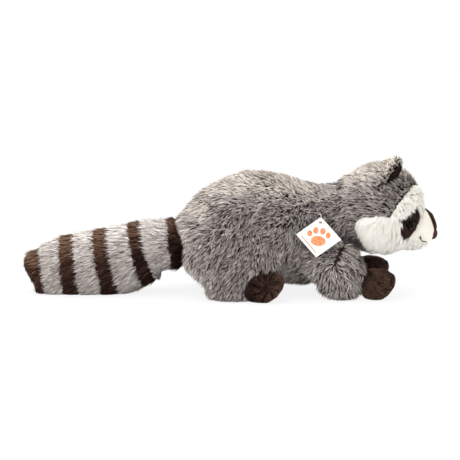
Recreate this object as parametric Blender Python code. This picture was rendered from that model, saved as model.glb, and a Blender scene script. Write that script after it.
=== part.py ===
# Plush raccoon, lying on its belly with its nose toward +X and the floor at z = 0.
# Each sewn piece is a closed solid of its own, and neighbours keep a fine gap at their seam.
# Lengths are in metres. Along the toy, zero is the back of the rump until the last step.

import math

import bmesh
import bpy
from mathutils import Matrix, Vector

# Sewing
SEAM_GAP = 0.0003
FLOOR_PRESS = 0.0036  # a stuffed piece on the floor is pressed flat by this much
HAUNCH_PRESS = 0.0055  # the same for the haunches, which carry the most

# Trunk, which runs forward into the neck
TRUNK_LENGTH = 0.176
TRUNK_WIDTH = 0.110
TRUNK_HEIGHT = 0.113
BELLY_CLEARANCE = 0.0095

# Hind legs: plump thighs at both sides
THIGH_LENGTH = 0.096
THIGH_HEIGHT = 0.089
THIGH_THICKNESS = 0.044
THIGH_FROM_RUMP = 0.054
THIGH_SUNK = 0.013  # how deep its middle lies in the trunk's side

# Front legs
LEG_LENGTH = 0.066
LEG_HEIGHT = 0.062
LEG_THICKNESS = 0.038
LEG_BEHIND_NECK = 0.021
LEG_SUNK = 0.017
WRIST = 0.96  # share of the leg's length where the paw is sewn on

# Paws, the hind pair turned out a little
HIND_PAW_LENGTH = 0.040
HIND_PAW_HEIGHT = 0.033
HIND_PAW_WIDTH = 0.030
FRONT_PAW_LENGTH = 0.035
FRONT_PAW_HEIGHT = 0.0305
FRONT_PAW_WIDTH = 0.030
HIND_TOE_DEPTH = 0.0020
FRONT_TOE_DEPTH = 0.0009
TOE_STITCHES = (0.58, 0.985)  # start and end of the stitches, as shares of the paw's length

# Head: a stuffed ball that carries the face
HEAD_LENGTH = 0.086
HEAD_WIDTH = 0.100
HEAD_HEIGHT = 0.092
HEAD_CENTRE_HEIGHT = 0.085
NECK_DEPTH = 0.0175  # how far the trunk's end reaches into the head
HEAD_TILT = math.radians(8)  # it lolls over to its left, so the right ear is the higher one

# Face pieces sewn over the ball
BROW_WIDTH = 0.0195
BROW_THICKNESS = 0.010
CHEEK_HEIGHT = 0.041
CHEEK_THICKNESS = 0.020
MASK_WIDTH = 0.0215
MASK_THICKNESS = 0.008
EYE_DIAMETER = 0.0086
EYE_STANDS_OUT = 0.0014
MUZZLE_REACH = 0.0125  # past the front of the ball
MUZZLE_WIDTH = 0.044
MUZZLE_HEIGHT = 0.041
STRIPE_WIDTH = 0.012
STRIPE_THICKNESS = 0.0042
NOSE_WIDTH = 0.0125
NOSE_HEIGHT = 0.0088
NOSE_LENGTH = 0.0085
CHIN_LENGTH = 0.034
CHIN_WIDTH = 0.028
CHIN_HEIGHT = 0.015

# Ears
EAR_HEIGHT = 0.031
EAR_WIDTH = 0.031
EAR_THICKNESS = 0.0080
EAR_ROOT_DEPTH = 0.008
EAR_CUP = 0.0045  # how far its edges curl forward
LINING_THICKNESS = 0.0026
LINING_MARGIN = 0.0036  # plush left showing round the lining

# Tail: nine sewn rings
TAIL_LENGTH = 0.151
TAIL_DIAMETER = 0.065  # across the thickest ring
TAIL_BEHIND_RUMP = 0.004  # where the length starts
TAIL_ROOT_DEPTH = 0.010  # how far the first ring reaches into the rump
RING_PLUMP = 0.0009  # how far a ring bulges between its seams

# Hang tag on the right shoulder
TAG_SIDE = 0.031
TAG_THICKNESS = 0.0008
TAG_HOLE_DIAMETER = 0.0030
TAG_HOLE_FROM_CORNER = 0.0060
TAG_LEAN = math.radians(36)  # its top leans back against the shoulder
TAG_TURN = math.radians(37.5)  # it hangs on a corner
TAG_FROM_RUMP = 0.138
TAG_CENTRE_HEIGHT = 0.0655
LOOP_THREAD = 0.0009
LOOP_REACH = 0.009  # from the hole to where the thread enters the plush
LOOP_SLACK = 0.0020  # half the loop's height

# Sections round a piece, and rows along it
TRUNK_MESH = (24, 14)
HEAD_MESH = (22, 11)
THIGH_MESH = (16, 10)
LEG_MESH = (16, 10)
PAW_MESH = (24, 7)
PANEL_MESH = (10, 8)
CHEEK_MESH = (12, 8)
MUZZLE_MESH = (16, 9)
STRIPE_MESH = (8, 8)
CHIN_MESH = (12, 7)
EAR_MESH = (12, 6)
LINING_MESH = (12, 6)
BEAD_MESH = (10, 6)
TAG_REST_MESH = (96, 64)
LOOP_STEPS = 10
LOOP_SIDES = 5
TAIL_SIDES = 18
RING_ROWS = 3
TIP_ROWS = 5

UP = Vector((0, 0, 1))
OUT = Vector((0, -1, 0))
FORWARD = Vector((1, 0, 0))

# name: (red, green, blue, roughness, metallic)
FINISHES = {
    "grey_plush": (0.30, 0.27, 0.25, 0.95, 0.0),
    "white_plush": (0.80, 0.76, 0.70, 0.95, 0.0),
    "cream_velour": (0.76, 0.70, 0.60, 0.9, 0.0),
    "brown_velour": (0.035, 0.020, 0.014, 0.9, 0.0),
    "dark_plush": (0.060, 0.030, 0.019, 0.95, 0.0),
    "pale_plush": (0.56, 0.52, 0.48, 0.95, 0.0),
    "ear_plush": (0.34, 0.30, 0.26, 0.95, 0.0),
    "eye_bead": (0.006, 0.005, 0.005, 0.08, 0.0),
    "nose_pad": (0.060, 0.016, 0.010, 0.35, 0.0),
    "tag_card": (0.86, 0.85, 0.83, 0.5, 0.0),
    "loop_thread": (0.78, 0.72, 0.52, 0.6, 0.0),
}


def clear_scene():
    for old in list(bpy.data.objects):
        bpy.data.objects.remove(old, do_unlink=True)


def finish(name):
    material = bpy.data.materials.get(name) or bpy.data.materials.new(name)
    material.use_nodes = True
    red, green, blue, roughness, metallic = FINISHES[name]
    shader = material.node_tree.nodes["Principled BSDF"]
    shader.inputs["Base Color"].default_value = (red, green, blue, 1)
    shader.inputs["Roughness"].default_value = roughness
    shader.inputs["Metallic"].default_value = metallic
    return material


def smooth(values, t):
    # A curve through evenly spaced values, straight on beyond both ends
    place = t * (len(values) - 1)
    first = min(max(int(place), 0), len(values) - 2)
    f = place - first
    b, c = values[first], values[first + 1]
    a = values[first - 1] if first > 0 else b * 2 - c
    d = values[first + 2] if first + 2 < len(values) else c * 2 - b
    bend = (a * 2 - b * 5 + c * 4 - d) * f * f + (b * 3 - a - c * 3 + d) * f**3
    return (b * 2 + (c - a) * f + bend) * 0.5


class Form:
    # A stuffed shape round a bent centre line. Each station is (centre, half width, half height).
    # Blunt 2 closes it like an egg, and more makes its ends fuller. Facing is where its height points.
    # An upright form keeps its sections square to the toy's length, however its centre line climbs.
    def __init__(self, stations, facing=UP, blunt=2.0, mesh=BEAD_MESH, cup=0.0, toes=0.0, upright=False):
        self.centres = [Vector(station[0]) for station in stations]
        self.widths = [station[1] for station in stations]
        self.heights = [station[2] for station in stations]
        self.facings = facing if isinstance(facing, list) else [facing, facing]
        self.blunt = blunt
        self.sides, self.rows = mesh
        self.cup = cup
        self.toes = toes
        self.upright = upright

    def axes(self, u):
        if self.upright:
            return FORWARD, FORWARD.cross(UP), UP
        step = 0.01
        ahead = smooth(self.centres, min(u + step, 1)) - smooth(self.centres, max(u - step, 0))
        along = ahead.normalized()
        across = along.cross(smooth(self.facings, u)).normalized()
        return along, across, across.cross(along)

    def toe_crease(self, u, turn):
        # Stitches over the upper front of a paw draw it into toes
        if self.toes == 0 or math.sin(turn) < 0.4:
            return 0.0
        start, end = TOE_STITCHES
        along = min(max((u - start) / (end - start), 0), 1)
        stitched = math.cos(turn * self.sides / 2) > 0
        return self.toes * max(0.0, math.sin(math.pi * along)) ** 0.5 * stitched

    def point(self, u, turn, grow=0.0):
        along, across, up = self.axes(u)
        closing = (1 - abs(2 * u - 1) ** self.blunt) ** (1 / self.blunt)
        inward = self.toe_crease(u, turn)
        wide = smooth(self.widths, u) * closing + grow - inward
        high = smooth(self.heights, u) * closing + grow - inward
        curl = self.cup * math.cos(turn) ** 2 * closing
        side, rise = math.cos(turn) * wide, math.sin(turn) * high + curl
        return smooth(self.centres, u) + across * side + up * rise

    def end(self, u, grow=0.0):
        return smooth(self.centres, u) + self.axes(u)[0] * (grow if u > 0.5 else -grow)

    def rings(self, grow=0.0):
        turns = [math.tau * side / self.sides for side in range(self.sides)]
        steps = [(1 - math.cos(math.pi * row / self.rows)) / 2 for row in range(1, self.rows)]
        return [[self.point(u, turn, grow) for turn in turns] for u in steps]

    def skin(self, grow=0.0):
        return self.end(0, grow), self.rings(grow), self.end(1, grow)


def solid(name, skin, colour, left=False, floor=0.0, pose=Matrix()):
    # A closed object from rings of points with a point at each end, mirrored for the left side, then posed
    start, rings, end = skin
    shape = bmesh.new()

    def placed(point):
        sided = Vector((point.x, -point.y if left else point.y, point.z))
        posed = pose @ sided
        if floor is not None:
            posed.z = max(posed.z, floor)
        return shape.verts.new(posed)

    loops = [[placed(point) for point in ring] for ring in rings]
    sides = len(loops[0])
    for low, high in zip(loops, loops[1:]):
        for i in range(sides):
            j = (i + 1) % sides
            shape.faces.new((low[i], low[j], high[j], high[i]))
    for tip, loop in ((start, loops[0]), (end, loops[-1])):
        top = placed(tip)
        for i in range(sides):
            shape.faces.new((loop[i], loop[(i + 1) % sides], top))
    bmesh.ops.triangulate(shape, faces=shape.faces[:])
    return object_from(name, shape, colour)


def object_from(name, shape, colour):
    bmesh.ops.recalc_face_normals(shape, faces=shape.faces[:])
    mesh = bpy.data.meshes.new(name)
    shape.to_mesh(mesh)
    shape.free()
    mesh.shade_smooth()
    mesh.set_sharp_from_angle(angle=math.radians(50))
    made = bpy.data.objects.new(name, mesh)
    bpy.context.scene.collection.objects.link(made)
    if colour:
        mesh.materials.append(finish(colour))
    return made


def hide(cutter):
    cutter.hide_render = True
    cutter.display_type = "WIRE"
    return cutter


class Toy:
    # Keeps every piece with a slightly larger copy, which cuts the seam into its neighbours
    def __init__(self):
        self.pieces = {}
        self.cutters = {}

    def add(self, name, skin_of, colour, left=False, pose=Matrix()):
        self.pieces[name] = solid(name, skin_of(0.0), colour, left, pose=pose)
        larger = solid(name + "_seam", skin_of(SEAM_GAP), None, left, None, pose)
        self.cutters[name] = hide(larger)

    def add_pair(self, name, skin_of, colour, pose=Matrix()):
        self.add(name + "_right", skin_of, colour, False, pose)
        self.add(name + "_left", skin_of, colour, True, pose)

    def sew(self, name, *neighbours):
        for neighbour in neighbours:
            cut = self.pieces[name].modifiers.new(neighbour, "BOOLEAN")
            cut.operation = "DIFFERENCE"
            cut.solver = "EXACT"
            cut.object = self.cutters[neighbour]

    def sew_pair(self, name, *neighbours):
        for side in ("_right", "_left"):
            self.sew(name + side, *[neighbour + side for neighbour in neighbours])


# Trunk

def trunk_form():
    # (share of the length, middle height, half height, half width), heights as shares of the trunk's
    shape = (
        (0.0, 0.43, 0.47, 0.66),
        (0.2, 0.49, 0.47, 0.95),
        (0.4, 0.52, 0.50, 1.04),
        (0.6, 0.505, 0.48, 0.98),
        (0.8, 0.465, 0.490, 0.84),
        (1.0, 0.635, 0.565, 0.86),
    )
    low = BELLY_CLEARANCE - 0.02 * TRUNK_HEIGHT
    stations = []
    for share, middle, half, wide in shape:
        centre = (share * TRUNK_LENGTH, 0, low + middle * TRUNK_HEIGHT)
        stations.append((centre, wide * TRUNK_WIDTH / 2, half * TRUNK_HEIGHT))
    return Form(stations, blunt=2.5, mesh=TRUNK_MESH, upright=True)


# Legs and paws

def thigh_form():
    middle = THIGH_HEIGHT / 2 - HAUNCH_PRESS
    aside = TRUNK_WIDTH / 2 - THIGH_SUNK
    back = THIGH_FROM_RUMP - THIGH_LENGTH / 2
    stations = [
        ((back, -aside + 0.1 * THIGH_THICKNESS, 1.20 * middle), THIGH_THICKNESS / 2, 0.43 * THIGH_HEIGHT),
        ((back + THIGH_LENGTH / 2, -aside, middle), THIGH_THICKNESS / 2, THIGH_HEIGHT / 2),
        ((back + THIGH_LENGTH, -aside, middle), THIGH_THICKNESS / 2, THIGH_HEIGHT / 2),
    ]
    return Form(stations, blunt=2.05, mesh=THIGH_MESH)


def hind_paw_form():
    front = THIGH_FROM_RUMP + 0.42 * THIGH_LENGTH
    aside = TRUNK_WIDTH / 2 - THIGH_SUNK + 0.20 * THIGH_THICKNESS
    middle = HIND_PAW_HEIGHT / 2 - FLOOR_PRESS / 2
    stations = []
    for share, out in ((-0.75, 0.0), (-0.25, 0.02), (0.25, 0.10)):
        centre = (front + share * HIND_PAW_LENGTH, -aside - out * HIND_PAW_WIDTH, middle)
        stations.append((centre, HIND_PAW_WIDTH / 2, HIND_PAW_HEIGHT / 2))
    return Form(stations, blunt=2.4, mesh=PAW_MESH, toes=HIND_TOE_DEPTH)


def leg_start():
    return TRUNK_LENGTH - LEG_BEHIND_NECK - LEG_LENGTH / 2


def leg_form():
    aside = TRUNK_WIDTH / 2 - LEG_SUNK
    start = leg_start()
    middle = LEG_HEIGHT / 2 - FLOOR_PRESS
    # (share of the length, nearer the middle, height, half thickness, half height)
    shape = (
        (-0.03, 0.08, 1.42, 0.50, 0.46),
        (0.42, 0.00, 1.08, 0.52, 0.53),
        (WRIST, 0.00, 0.96, 0.46, 0.48),
    )
    stations = []
    for share, inward, rise, wide, high in shape:
        centre = (start + share * LEG_LENGTH, inward * LEG_THICKNESS - aside, rise * middle)
        stations.append((centre, wide * LEG_THICKNESS, high * LEG_HEIGHT))
    return Form(stations, blunt=2.3, mesh=LEG_MESH, upright=True)


def front_paw_form():
    wrist = leg_start() + WRIST * LEG_LENGTH
    aside = TRUNK_WIDTH / 2 - LEG_SUNK
    middle = FRONT_PAW_HEIGHT / 2 - FLOOR_PRESS / 2
    stations = []
    for share, rise in ((-0.18, 0.06), (0.32, 0.03), (0.82, 0.0)):
        centre = (wrist + share * FRONT_PAW_LENGTH, -aside, middle + rise * FRONT_PAW_HEIGHT)
        stations.append((centre, FRONT_PAW_WIDTH / 2, FRONT_PAW_HEIGHT / 2))
    return Form(stations, blunt=2.4, mesh=PAW_MESH, toes=FRONT_TOE_DEPTH)


# Head and face

def head_centre():
    return Vector((TRUNK_LENGTH - NECK_DEPTH + HEAD_LENGTH / 2, 0, HEAD_CENTRE_HEIGHT))


def head_pose():
    centre = Matrix.Translation(head_centre())
    return centre @ Matrix.Rotation(-HEAD_TILT, 4, "X") @ centre.inverted()


def head_form():
    centre = head_centre()
    reach = FORWARD * HEAD_LENGTH / 2
    size = (HEAD_WIDTH / 2, HEAD_HEIGHT / 2)
    return Form([(centre - reach, *size), (centre + reach, *size)], mesh=HEAD_MESH)


def on_head(around, rise, lift=0.0):
    # A place on the ball, and its outward direction. Around is in degrees from the nose to the right side.
    a, r = math.radians(around), math.radians(rise)
    x, y, z = math.cos(r) * math.cos(a), -math.cos(r) * math.sin(a), math.sin(r)
    half = Vector((HEAD_LENGTH, HEAD_WIDTH, HEAD_HEIGHT)) / 2
    outward = Vector((x / half.x, y / half.y, z / half.z)).normalized()
    return head_centre() + Vector((x * half.x, y * half.y, z * half.z)) + outward * lift, outward


def panel_form(route, width, thickness, blunt, mesh):
    # A padded piece along a route over the head. A route's point is (around, rise, lift, width share).
    places = [on_head(around, rise, lift) for around, rise, lift, share in route]
    stations = []
    for (centre, outward), (around, rise, lift, share) in zip(places, route):
        stations.append((centre, width / 2 * share, thickness / 2 * (0.6 + 0.4 * share)))
    facing = [outward for centre, outward in places]
    return Form(stations, facing, blunt, mesh)


def brow_form():
    sunk = -0.25 * BROW_THICKNESS
    route = (
        (2, 22, 1.2 * sunk, 0.92),
        (25, 20, sunk, 1.00),
        (48, 9, sunk, 1.00),
        (64, -4, sunk, 0.92),
        (79, -17, 1.2 * sunk, 0.68),
    )
    return panel_form(route, BROW_WIDTH, BROW_THICKNESS, 3.2, PANEL_MESH)


def cheek_form():
    sunk = -0.22 * CHEEK_THICKNESS
    route = (
        (138, -20, sunk, 0.74),
        (112, -30, sunk, 1.02),
        (88, -42, sunk, 1.04),
        (67, -56, sunk, 0.84),
        (47, -67, sunk, 0.58),
    )
    return panel_form(route, CHEEK_HEIGHT, CHEEK_THICKNESS, 2.3, CHEEK_MESH)


def mask_form():
    sunk = -0.30 * MASK_THICKNESS
    route = (
        (29, 3, sunk, 0.66),
        (39, -10, sunk, 0.98),
        (49, -24, sunk, 1.05),
        (58, -37, sunk, 0.84),
        (63, -46, sunk, 0.58),
    )
    return panel_form(route, MASK_WIDTH, MASK_THICKNESS, 2.6, PANEL_MESH)


def eye_form():
    place, outward = on_head(51, -20, 0.2 * MASK_THICKNESS + EYE_STANDS_OUT)
    radius = EYE_DIAMETER / 2
    stations = [(place + outward * share * radius, radius, radius) for share in (-1.3, 0.7)]
    return Form(stations)


def muzzle_stations():
    front = head_centre() + FORWARD * HEAD_LENGTH / 2
    wide, high = MUZZLE_WIDTH / 2, MUZZLE_HEIGHT / 2
    drop = MUZZLE_HEIGHT
    return [
        (front + Vector((-0.0260, 0, -0.33 * drop)), 1.10 * wide, 0.98 * high),
        (front + Vector((-0.0080, 0, -0.42 * drop)), 1.05 * wide, 1.00 * high),
        (front + Vector((0.40 * MUZZLE_REACH, 0, -0.585 * drop)), 0.74 * wide, 0.66 * high),
        (front + Vector((MUZZLE_REACH, 0, -0.66 * drop)), 0.56 * wide, 0.42 * high),
    ]


def muzzle_form():
    return Form(muzzle_stations(), blunt=3.0, mesh=MUZZLE_MESH)


def stripe_form():
    muzzle = muzzle_form()
    top = math.pi / 2
    stations = []
    facing = []
    for u, share in ((0.30, 0.9), (0.48, 1.15), (0.66, 1.05), (0.84, 0.85), (0.965, 0.7)):
        place = muzzle.point(u, top)
        up = (muzzle.point(u, top, 0.001) - place).normalized()
        ahead = (muzzle.point(min(u + 0.02, 0.99), top) - muzzle.point(u - 0.02, top)).normalized()
        outward = (up - ahead * up.dot(ahead)).normalized()
        centre = place - outward * 0.22 * STRIPE_THICKNESS
        stations.append((centre, STRIPE_WIDTH / 2 * share, STRIPE_THICKNESS / 2))
        facing.append(outward)
    return Form(stations, facing, 2.8, STRIPE_MESH)


def nose_form():
    tip = muzzle_form().end(1)
    back = tip + Vector((-0.72 * NOSE_LENGTH, 0, -0.02 * NOSE_HEIGHT))
    front = tip + Vector((0.28 * NOSE_LENGTH, 0, -0.10 * NOSE_HEIGHT))
    size = (NOSE_WIDTH / 2, NOSE_HEIGHT / 2)
    return Form([(back, *size), (front, *size)], blunt=2.3)


def chin_form():
    front = head_centre() + FORWARD * HEAD_LENGTH / 2
    low = -0.80 * MUZZLE_HEIGHT
    stations = []
    for share, rise, size in ((-0.80, 0.08, 1.0), (-0.30, -0.06, 1.0), (0.20, 0.06, 0.8)):
        centre = front + Vector((share * CHIN_LENGTH, 0, low + rise * CHIN_HEIGHT))
        stations.append((centre, size * CHIN_WIDTH / 2, size * CHIN_HEIGHT / 2))
    return Form(stations, blunt=2.3, mesh=CHIN_MESH)


# Ears

def ear_axis():
    root, outward = on_head(100, 28, -EAR_ROOT_DEPTH)
    return root, Vector((0.52, -0.22, 0.84)).normalized()


EAR_FRONT = Vector((math.cos(math.radians(24)), -math.sin(math.radians(24)), 0))


def ear_form():
    root, rise = ear_axis()
    length = EAR_HEIGHT + EAR_ROOT_DEPTH
    stations = [
        (root, EAR_WIDTH / 2, EAR_THICKNESS / 2),
        (root + rise * 0.5 * length, 0.96 * EAR_WIDTH / 2, 0.95 * EAR_THICKNESS / 2),
        (root + rise * length, 0.80 * EAR_WIDTH / 2, 0.80 * EAR_THICKNESS / 2),
    ]
    return Form(stations, EAR_FRONT, 2.8, EAR_MESH, cup=EAR_CUP)


def lining_form():
    root, rise = ear_axis()
    ahead = EAR_FRONT * (EAR_THICKNESS / 2 - 0.15 * LINING_THICKNESS)
    start = root + rise * 0.8 * EAR_ROOT_DEPTH + ahead
    length = EAR_HEIGHT + 0.2 * EAR_ROOT_DEPTH - LINING_MARGIN
    half = EAR_WIDTH / 2 - LINING_MARGIN
    stations = [
        (start, half, LINING_THICKNESS / 2),
        (start + rise * 0.5 * length, 0.98 * half, LINING_THICKNESS / 2),
        (start + rise * length, 0.76 * half, LINING_THICKNESS / 2),
    ]
    return Form(stations, EAR_FRONT, 2.8, LINING_MESH, cup=EAR_CUP * half / (EAR_WIDTH / 2))


# Tail

# A seam is (share of the length along the top, the same along the underside, top height, underside
# height, half width), heights and widths as shares of the diameter. The first row is inside the rump.
TAIL_SEAMS = (
    (-0.070, -0.075, 1.08, 0.42, 0.36),
    (0.000, -0.024, 1.13, 0.33, 0.42),
    (0.069, 0.026, 1.12, 0.27, 0.44),
    (0.248, 0.160, 1.08, 0.15, 0.475),
    (0.333, 0.232, 1.03, 0.09, 0.490),
    (0.472, 0.384, 0.965, -0.020, 0.500),
    (0.560, 0.492, 0.930, -0.028, 0.490),
    (0.692, 0.639, 0.875, -0.030, 0.460),
    (0.783, 0.743, 0.815, -0.028, 0.430),
    (0.912, 0.862, 0.640, -0.015, 0.340),
)
TAIL_END_HEIGHT = 0.43  # share of the diameter
TAIL_ROOT_SEAM = 1


def tail_back(share):
    return -TAIL_BEHIND_RUMP - share * TAIL_LENGTH


def tail_frame(seam):
    # Top, underside and half width of the tail at a place between seams
    along_top, along_low, high, low, wide = (
        smooth([row[i] for row in TAIL_SEAMS], seam / (len(TAIL_SEAMS) - 1)) for i in range(5)
    )
    if seam < TAIL_ROOT_SEAM:
        depth = (TAIL_ROOT_SEAM - seam) * TAIL_ROOT_DEPTH
        root = TAIL_SEAMS[TAIL_ROOT_SEAM]
        along_top = root[0] - depth / TAIL_LENGTH
        along_low = root[1] - depth / TAIL_LENGTH
    top = Vector((tail_back(along_top), 0, high * TAIL_DIAMETER))
    under = Vector((tail_back(along_low), 0, low * TAIL_DIAMETER))
    return top, under, wide * TAIL_DIAMETER


def tail_ring(seam, plump, grow):
    top, under, wide = tail_frame(seam)
    middle, half = (top + under) / 2, (top - under) / 2
    bigger = plump + grow
    half = half * (1 + bigger / half.length)
    points = []
    for side in range(TAIL_SIDES):
        turn = math.tau * side / TAIL_SIDES
        points.append(middle + half * math.sin(turn) + OUT * (wide + bigger) * math.cos(turn))
    return middle, points


def ring_skin(first):
    # The ring between two seams, plump between them
    def skin(grow):
        inset = (SEAM_GAP / 2 - grow) * (len(TAIL_SEAMS) - 1) / TAIL_LENGTH
        start, end = first + inset, first + 1 - inset
        if first == TAIL_ROOT_SEAM:
            start = first - 1
        rings = []
        for row in range(RING_ROWS + 1):
            t = row / RING_ROWS
            plump = RING_PLUMP * (4 * t * (1 - t)) ** 0.5
            middle, points = tail_ring(start + (end - start) * t, plump, grow)
            rings.append(points)
            if row == 0:
                front = middle
        return front, rings, middle

    return skin


def tip_skin(grow):
    # The last ring, closed to a round end
    last = len(TAIL_SEAMS) - 1
    inset = SEAM_GAP / 2 - grow
    middle, points = tail_ring(last, 0, 0)
    end = Vector((tail_back(1) - grow, 0, TAIL_END_HEIGHT * TAIL_DIAMETER))
    rings = []
    for row in range(TIP_ROWS):
        angle = math.pi / 2 * row / TIP_ROWS
        centre = middle.lerp(end, math.sin(angle) * (1 - 0.35 * math.cos(angle)))
        lean = math.cos(angle)
        ring = []
        for point in points:
            offset = (point - middle) * lean
            ring.append(centre + offset + offset.normalized() * grow - FORWARD * inset)
        rings.append(ring)
    return middle - FORWARD * inset, rings, end


# Hang tag

def tag_axes():
    # Its outward face, and the directions from its centre to the right and to the upper corner
    face = Vector((0, -math.cos(TAG_LEAN), math.sin(TAG_LEAN)))
    rise = face.cross(FORWARD)
    turn = Matrix.Rotation(TAG_TURN, 3, face)
    return face, turn @ FORWARD, turn @ rise


def fine_points(form):
    form.sides, form.rows = TAG_REST_MESH
    return [point for ring in form.rings() for point in ring]


def tag_centre(plush):
    # The card is laid against whatever stands out furthest behind it
    face, across, along = tag_axes()
    aim = Vector((TAG_FROM_RUMP, -TRUNK_WIDTH / 2, TAG_CENTRE_HEIGHT))
    reaches = []
    for point in plush:
        offset = point - aim
        behind = max(abs(offset.dot(across)), abs(offset.dot(along))) < 0.6 * TAG_SIDE
        if behind and offset.dot(face) > -TRUNK_WIDTH / 2:
            reaches.append(offset.dot(face))
    return aim + face * (max(reaches, default=0) + SEAM_GAP + TAG_THICKNESS / 2)


def hang_tag(centre):
    face, across, along = tag_axes()
    shape = bmesh.new()
    bmesh.ops.create_cube(shape, size=1)
    turn = Matrix((across, along, face)).transposed().to_4x4()
    size = Matrix.Diagonal((TAG_SIDE, TAG_SIDE, TAG_THICKNESS, 1))
    bmesh.ops.transform(shape, matrix=Matrix.Translation(centre) @ turn @ size, verts=shape.verts)
    tag = object_from("hang_tag", shape, "tag_card")
    hole = bmesh.new()
    radius = TAG_HOLE_DIAMETER / 2
    deep = 4 * TAG_THICKNESS
    bmesh.ops.create_cone(hole, cap_ends=True, segments=16, radius1=radius, radius2=radius, depth=deep)
    bmesh.ops.transform(hole, matrix=Matrix.Translation(tag_hole(centre)) @ turn, verts=hole.verts)
    punch = hide(object_from("tag_punch", hole, None))
    cut = tag.modifiers.new("punched hole", "BOOLEAN")
    cut.operation = "DIFFERENCE"
    cut.object = punch
    return tag


def tag_hole(centre):
    face, across, along = tag_axes()
    inset = TAG_SIDE / 2 - TAG_HOLE_FROM_CORNER / math.sqrt(2)
    return centre + across * inset + along * inset


def tag_loop_route(centre, plush):
    # Out of the plush through the hole, over the card's upper corner and back into the plush
    face, across, along = tag_axes()
    hole = tag_hole(centre)
    upward = (across + along).normalized()
    aim = hole + upward * LOOP_REACH
    behind = min(plush, key=lambda point: (point - hole).length)
    beyond = [point for point in plush if (point - aim).dot(upward) >= 0]
    entry = min(beyond, key=lambda point: (point - aim).length)
    over = face * LOOP_SLACK
    near, far = upward * 0.4 * TAG_HOLE_FROM_CORNER, upward * (TAG_HOLE_FROM_CORNER + LOOP_THREAD)
    return [behind, hole, hole + near + over, hole + far + over, entry]


def tag_loop_skin(route):
    def skin(grow):
        radius = LOOP_THREAD / 2 + grow
        aside = (route[2] - route[1]).cross(route[0] - route[1]).normalized()
        rings = []
        for step in range(LOOP_STEPS + 1):
            t = step / LOOP_STEPS
            ahead = (smooth(route, t + 0.01) - smooth(route, t - 0.01)).normalized()
            out = aside.cross(ahead).normalized()
            ring = []
            for side in range(LOOP_SIDES):
                turn = math.tau * side / LOOP_SIDES
                offset = (ahead.cross(out) * math.cos(turn) + out * math.sin(turn)) * radius
                ring.append(smooth(route, t) + offset)
            rings.append(ring)
        return route[0], rings, route[-1]

    return skin


def centre_on_floor():
    # Puts zero at the middle of the toy's box, on the floor
    made = [thing for thing in bpy.data.objects if not thing.hide_render]
    graph = bpy.context.evaluated_depsgraph_get()
    corners = []
    for thing in made:
        corners += thing.evaluated_get(graph).bound_box
    middle = [(min(c[i] for c in corners) + max(c[i] for c in corners)) / 2 for i in range(2)]
    for thing in bpy.data.objects:
        thing.location = (-middle[0], -middle[1], 0)


def main():
    clear_scene()
    toy = Toy()
    trunk, leg = trunk_form(), leg_form()
    toy.add("body", trunk.skin, "grey_plush")
    toy.add_pair("hind_leg", thigh_form().skin, "grey_plush")
    toy.add_pair("front_leg", leg.skin, "grey_plush")
    toy.add_pair("hind_paw", hind_paw_form().skin, "brown_velour")
    toy.add_pair("front_paw", front_paw_form().skin, "brown_velour")
    tilt = head_pose()
    toy.add("head", head_form().skin, "grey_plush", pose=tilt)
    toy.add_pair("brow", brow_form().skin, "white_plush", tilt)
    toy.add_pair("cheek", cheek_form().skin, "white_plush", tilt)
    toy.add_pair("eye_mask", mask_form().skin, "dark_plush", tilt)
    toy.add_pair("eye", eye_form().skin, "eye_bead", tilt)
    toy.add("muzzle", muzzle_form().skin, "cream_velour", pose=tilt)
    toy.add("muzzle_stripe", stripe_form().skin, "brown_velour", pose=tilt)
    toy.add("nose", nose_form().skin, "nose_pad", pose=tilt)
    toy.add("chin", chin_form().skin, "white_plush", pose=tilt)
    toy.add_pair("ear", ear_form().skin, "ear_plush", tilt)
    toy.add_pair("ear_lining", lining_form().skin, "brown_velour", tilt)
    for ring in range(1, len(TAIL_SEAMS) - 1):
        colour = "dark_plush" if ring % 2 else "pale_plush"
        toy.add(f"tail_ring_{ring}", ring_skin(ring), colour)
    toy.add("tail_tip", tip_skin, "dark_plush")
    plush = fine_points(trunk_form()) + fine_points(leg_form())
    card = tag_centre(plush)
    hang_tag(card)
    toy.add("tag_loop", tag_loop_skin(tag_loop_route(card, plush)), "loop_thread")

    both = ("_right", "_left")
    toy.sew("body", "head", "tail_ring_1", "tag_loop")
    for side in both:
        toy.sew("body", "hind_leg" + side, "front_leg" + side)
        toy.sew("body", "cheek" + side, "hind_paw" + side)
        toy.sew("head", "brow" + side, "cheek" + side, "eye_mask" + side, "eye" + side)
        toy.sew("head", "ear" + side, "ear_lining" + side)
        toy.sew("muzzle", "brow" + side, "eye_mask" + side)
        toy.sew("muzzle_stripe", "brow" + side)
        toy.sew("chin", "cheek" + side)
        toy.sew("hind_leg" + side, "tail_ring_1")
        toy.sew("front_leg" + side, "head")
        toy.sew("eye_mask" + side, "muzzle_stripe")
        toy.sew("cheek" + side, "muzzle")
    toy.sew("head", "muzzle", "muzzle_stripe", "chin")
    toy.sew("muzzle", "muzzle_stripe", "nose")
    toy.sew("muzzle_stripe", "nose")
    toy.sew("chin", "muzzle")
    toy.sew_pair("hind_leg", "hind_paw")
    toy.sew_pair("front_leg", "front_paw", "cheek")
    toy.sew_pair("eye_mask", "eye", "brow")
    toy.sew_pair("cheek", "brow", "eye_mask")
    toy.sew_pair("ear", "ear_lining")
    toy.sew("front_leg_right", "tag_loop")
    centre_on_floor()


main()
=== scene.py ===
import math

import bmesh
import bpy
import numpy as np
from mathutils import Matrix, Vector
from mathutils.bvhtree import BVHTree


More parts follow.
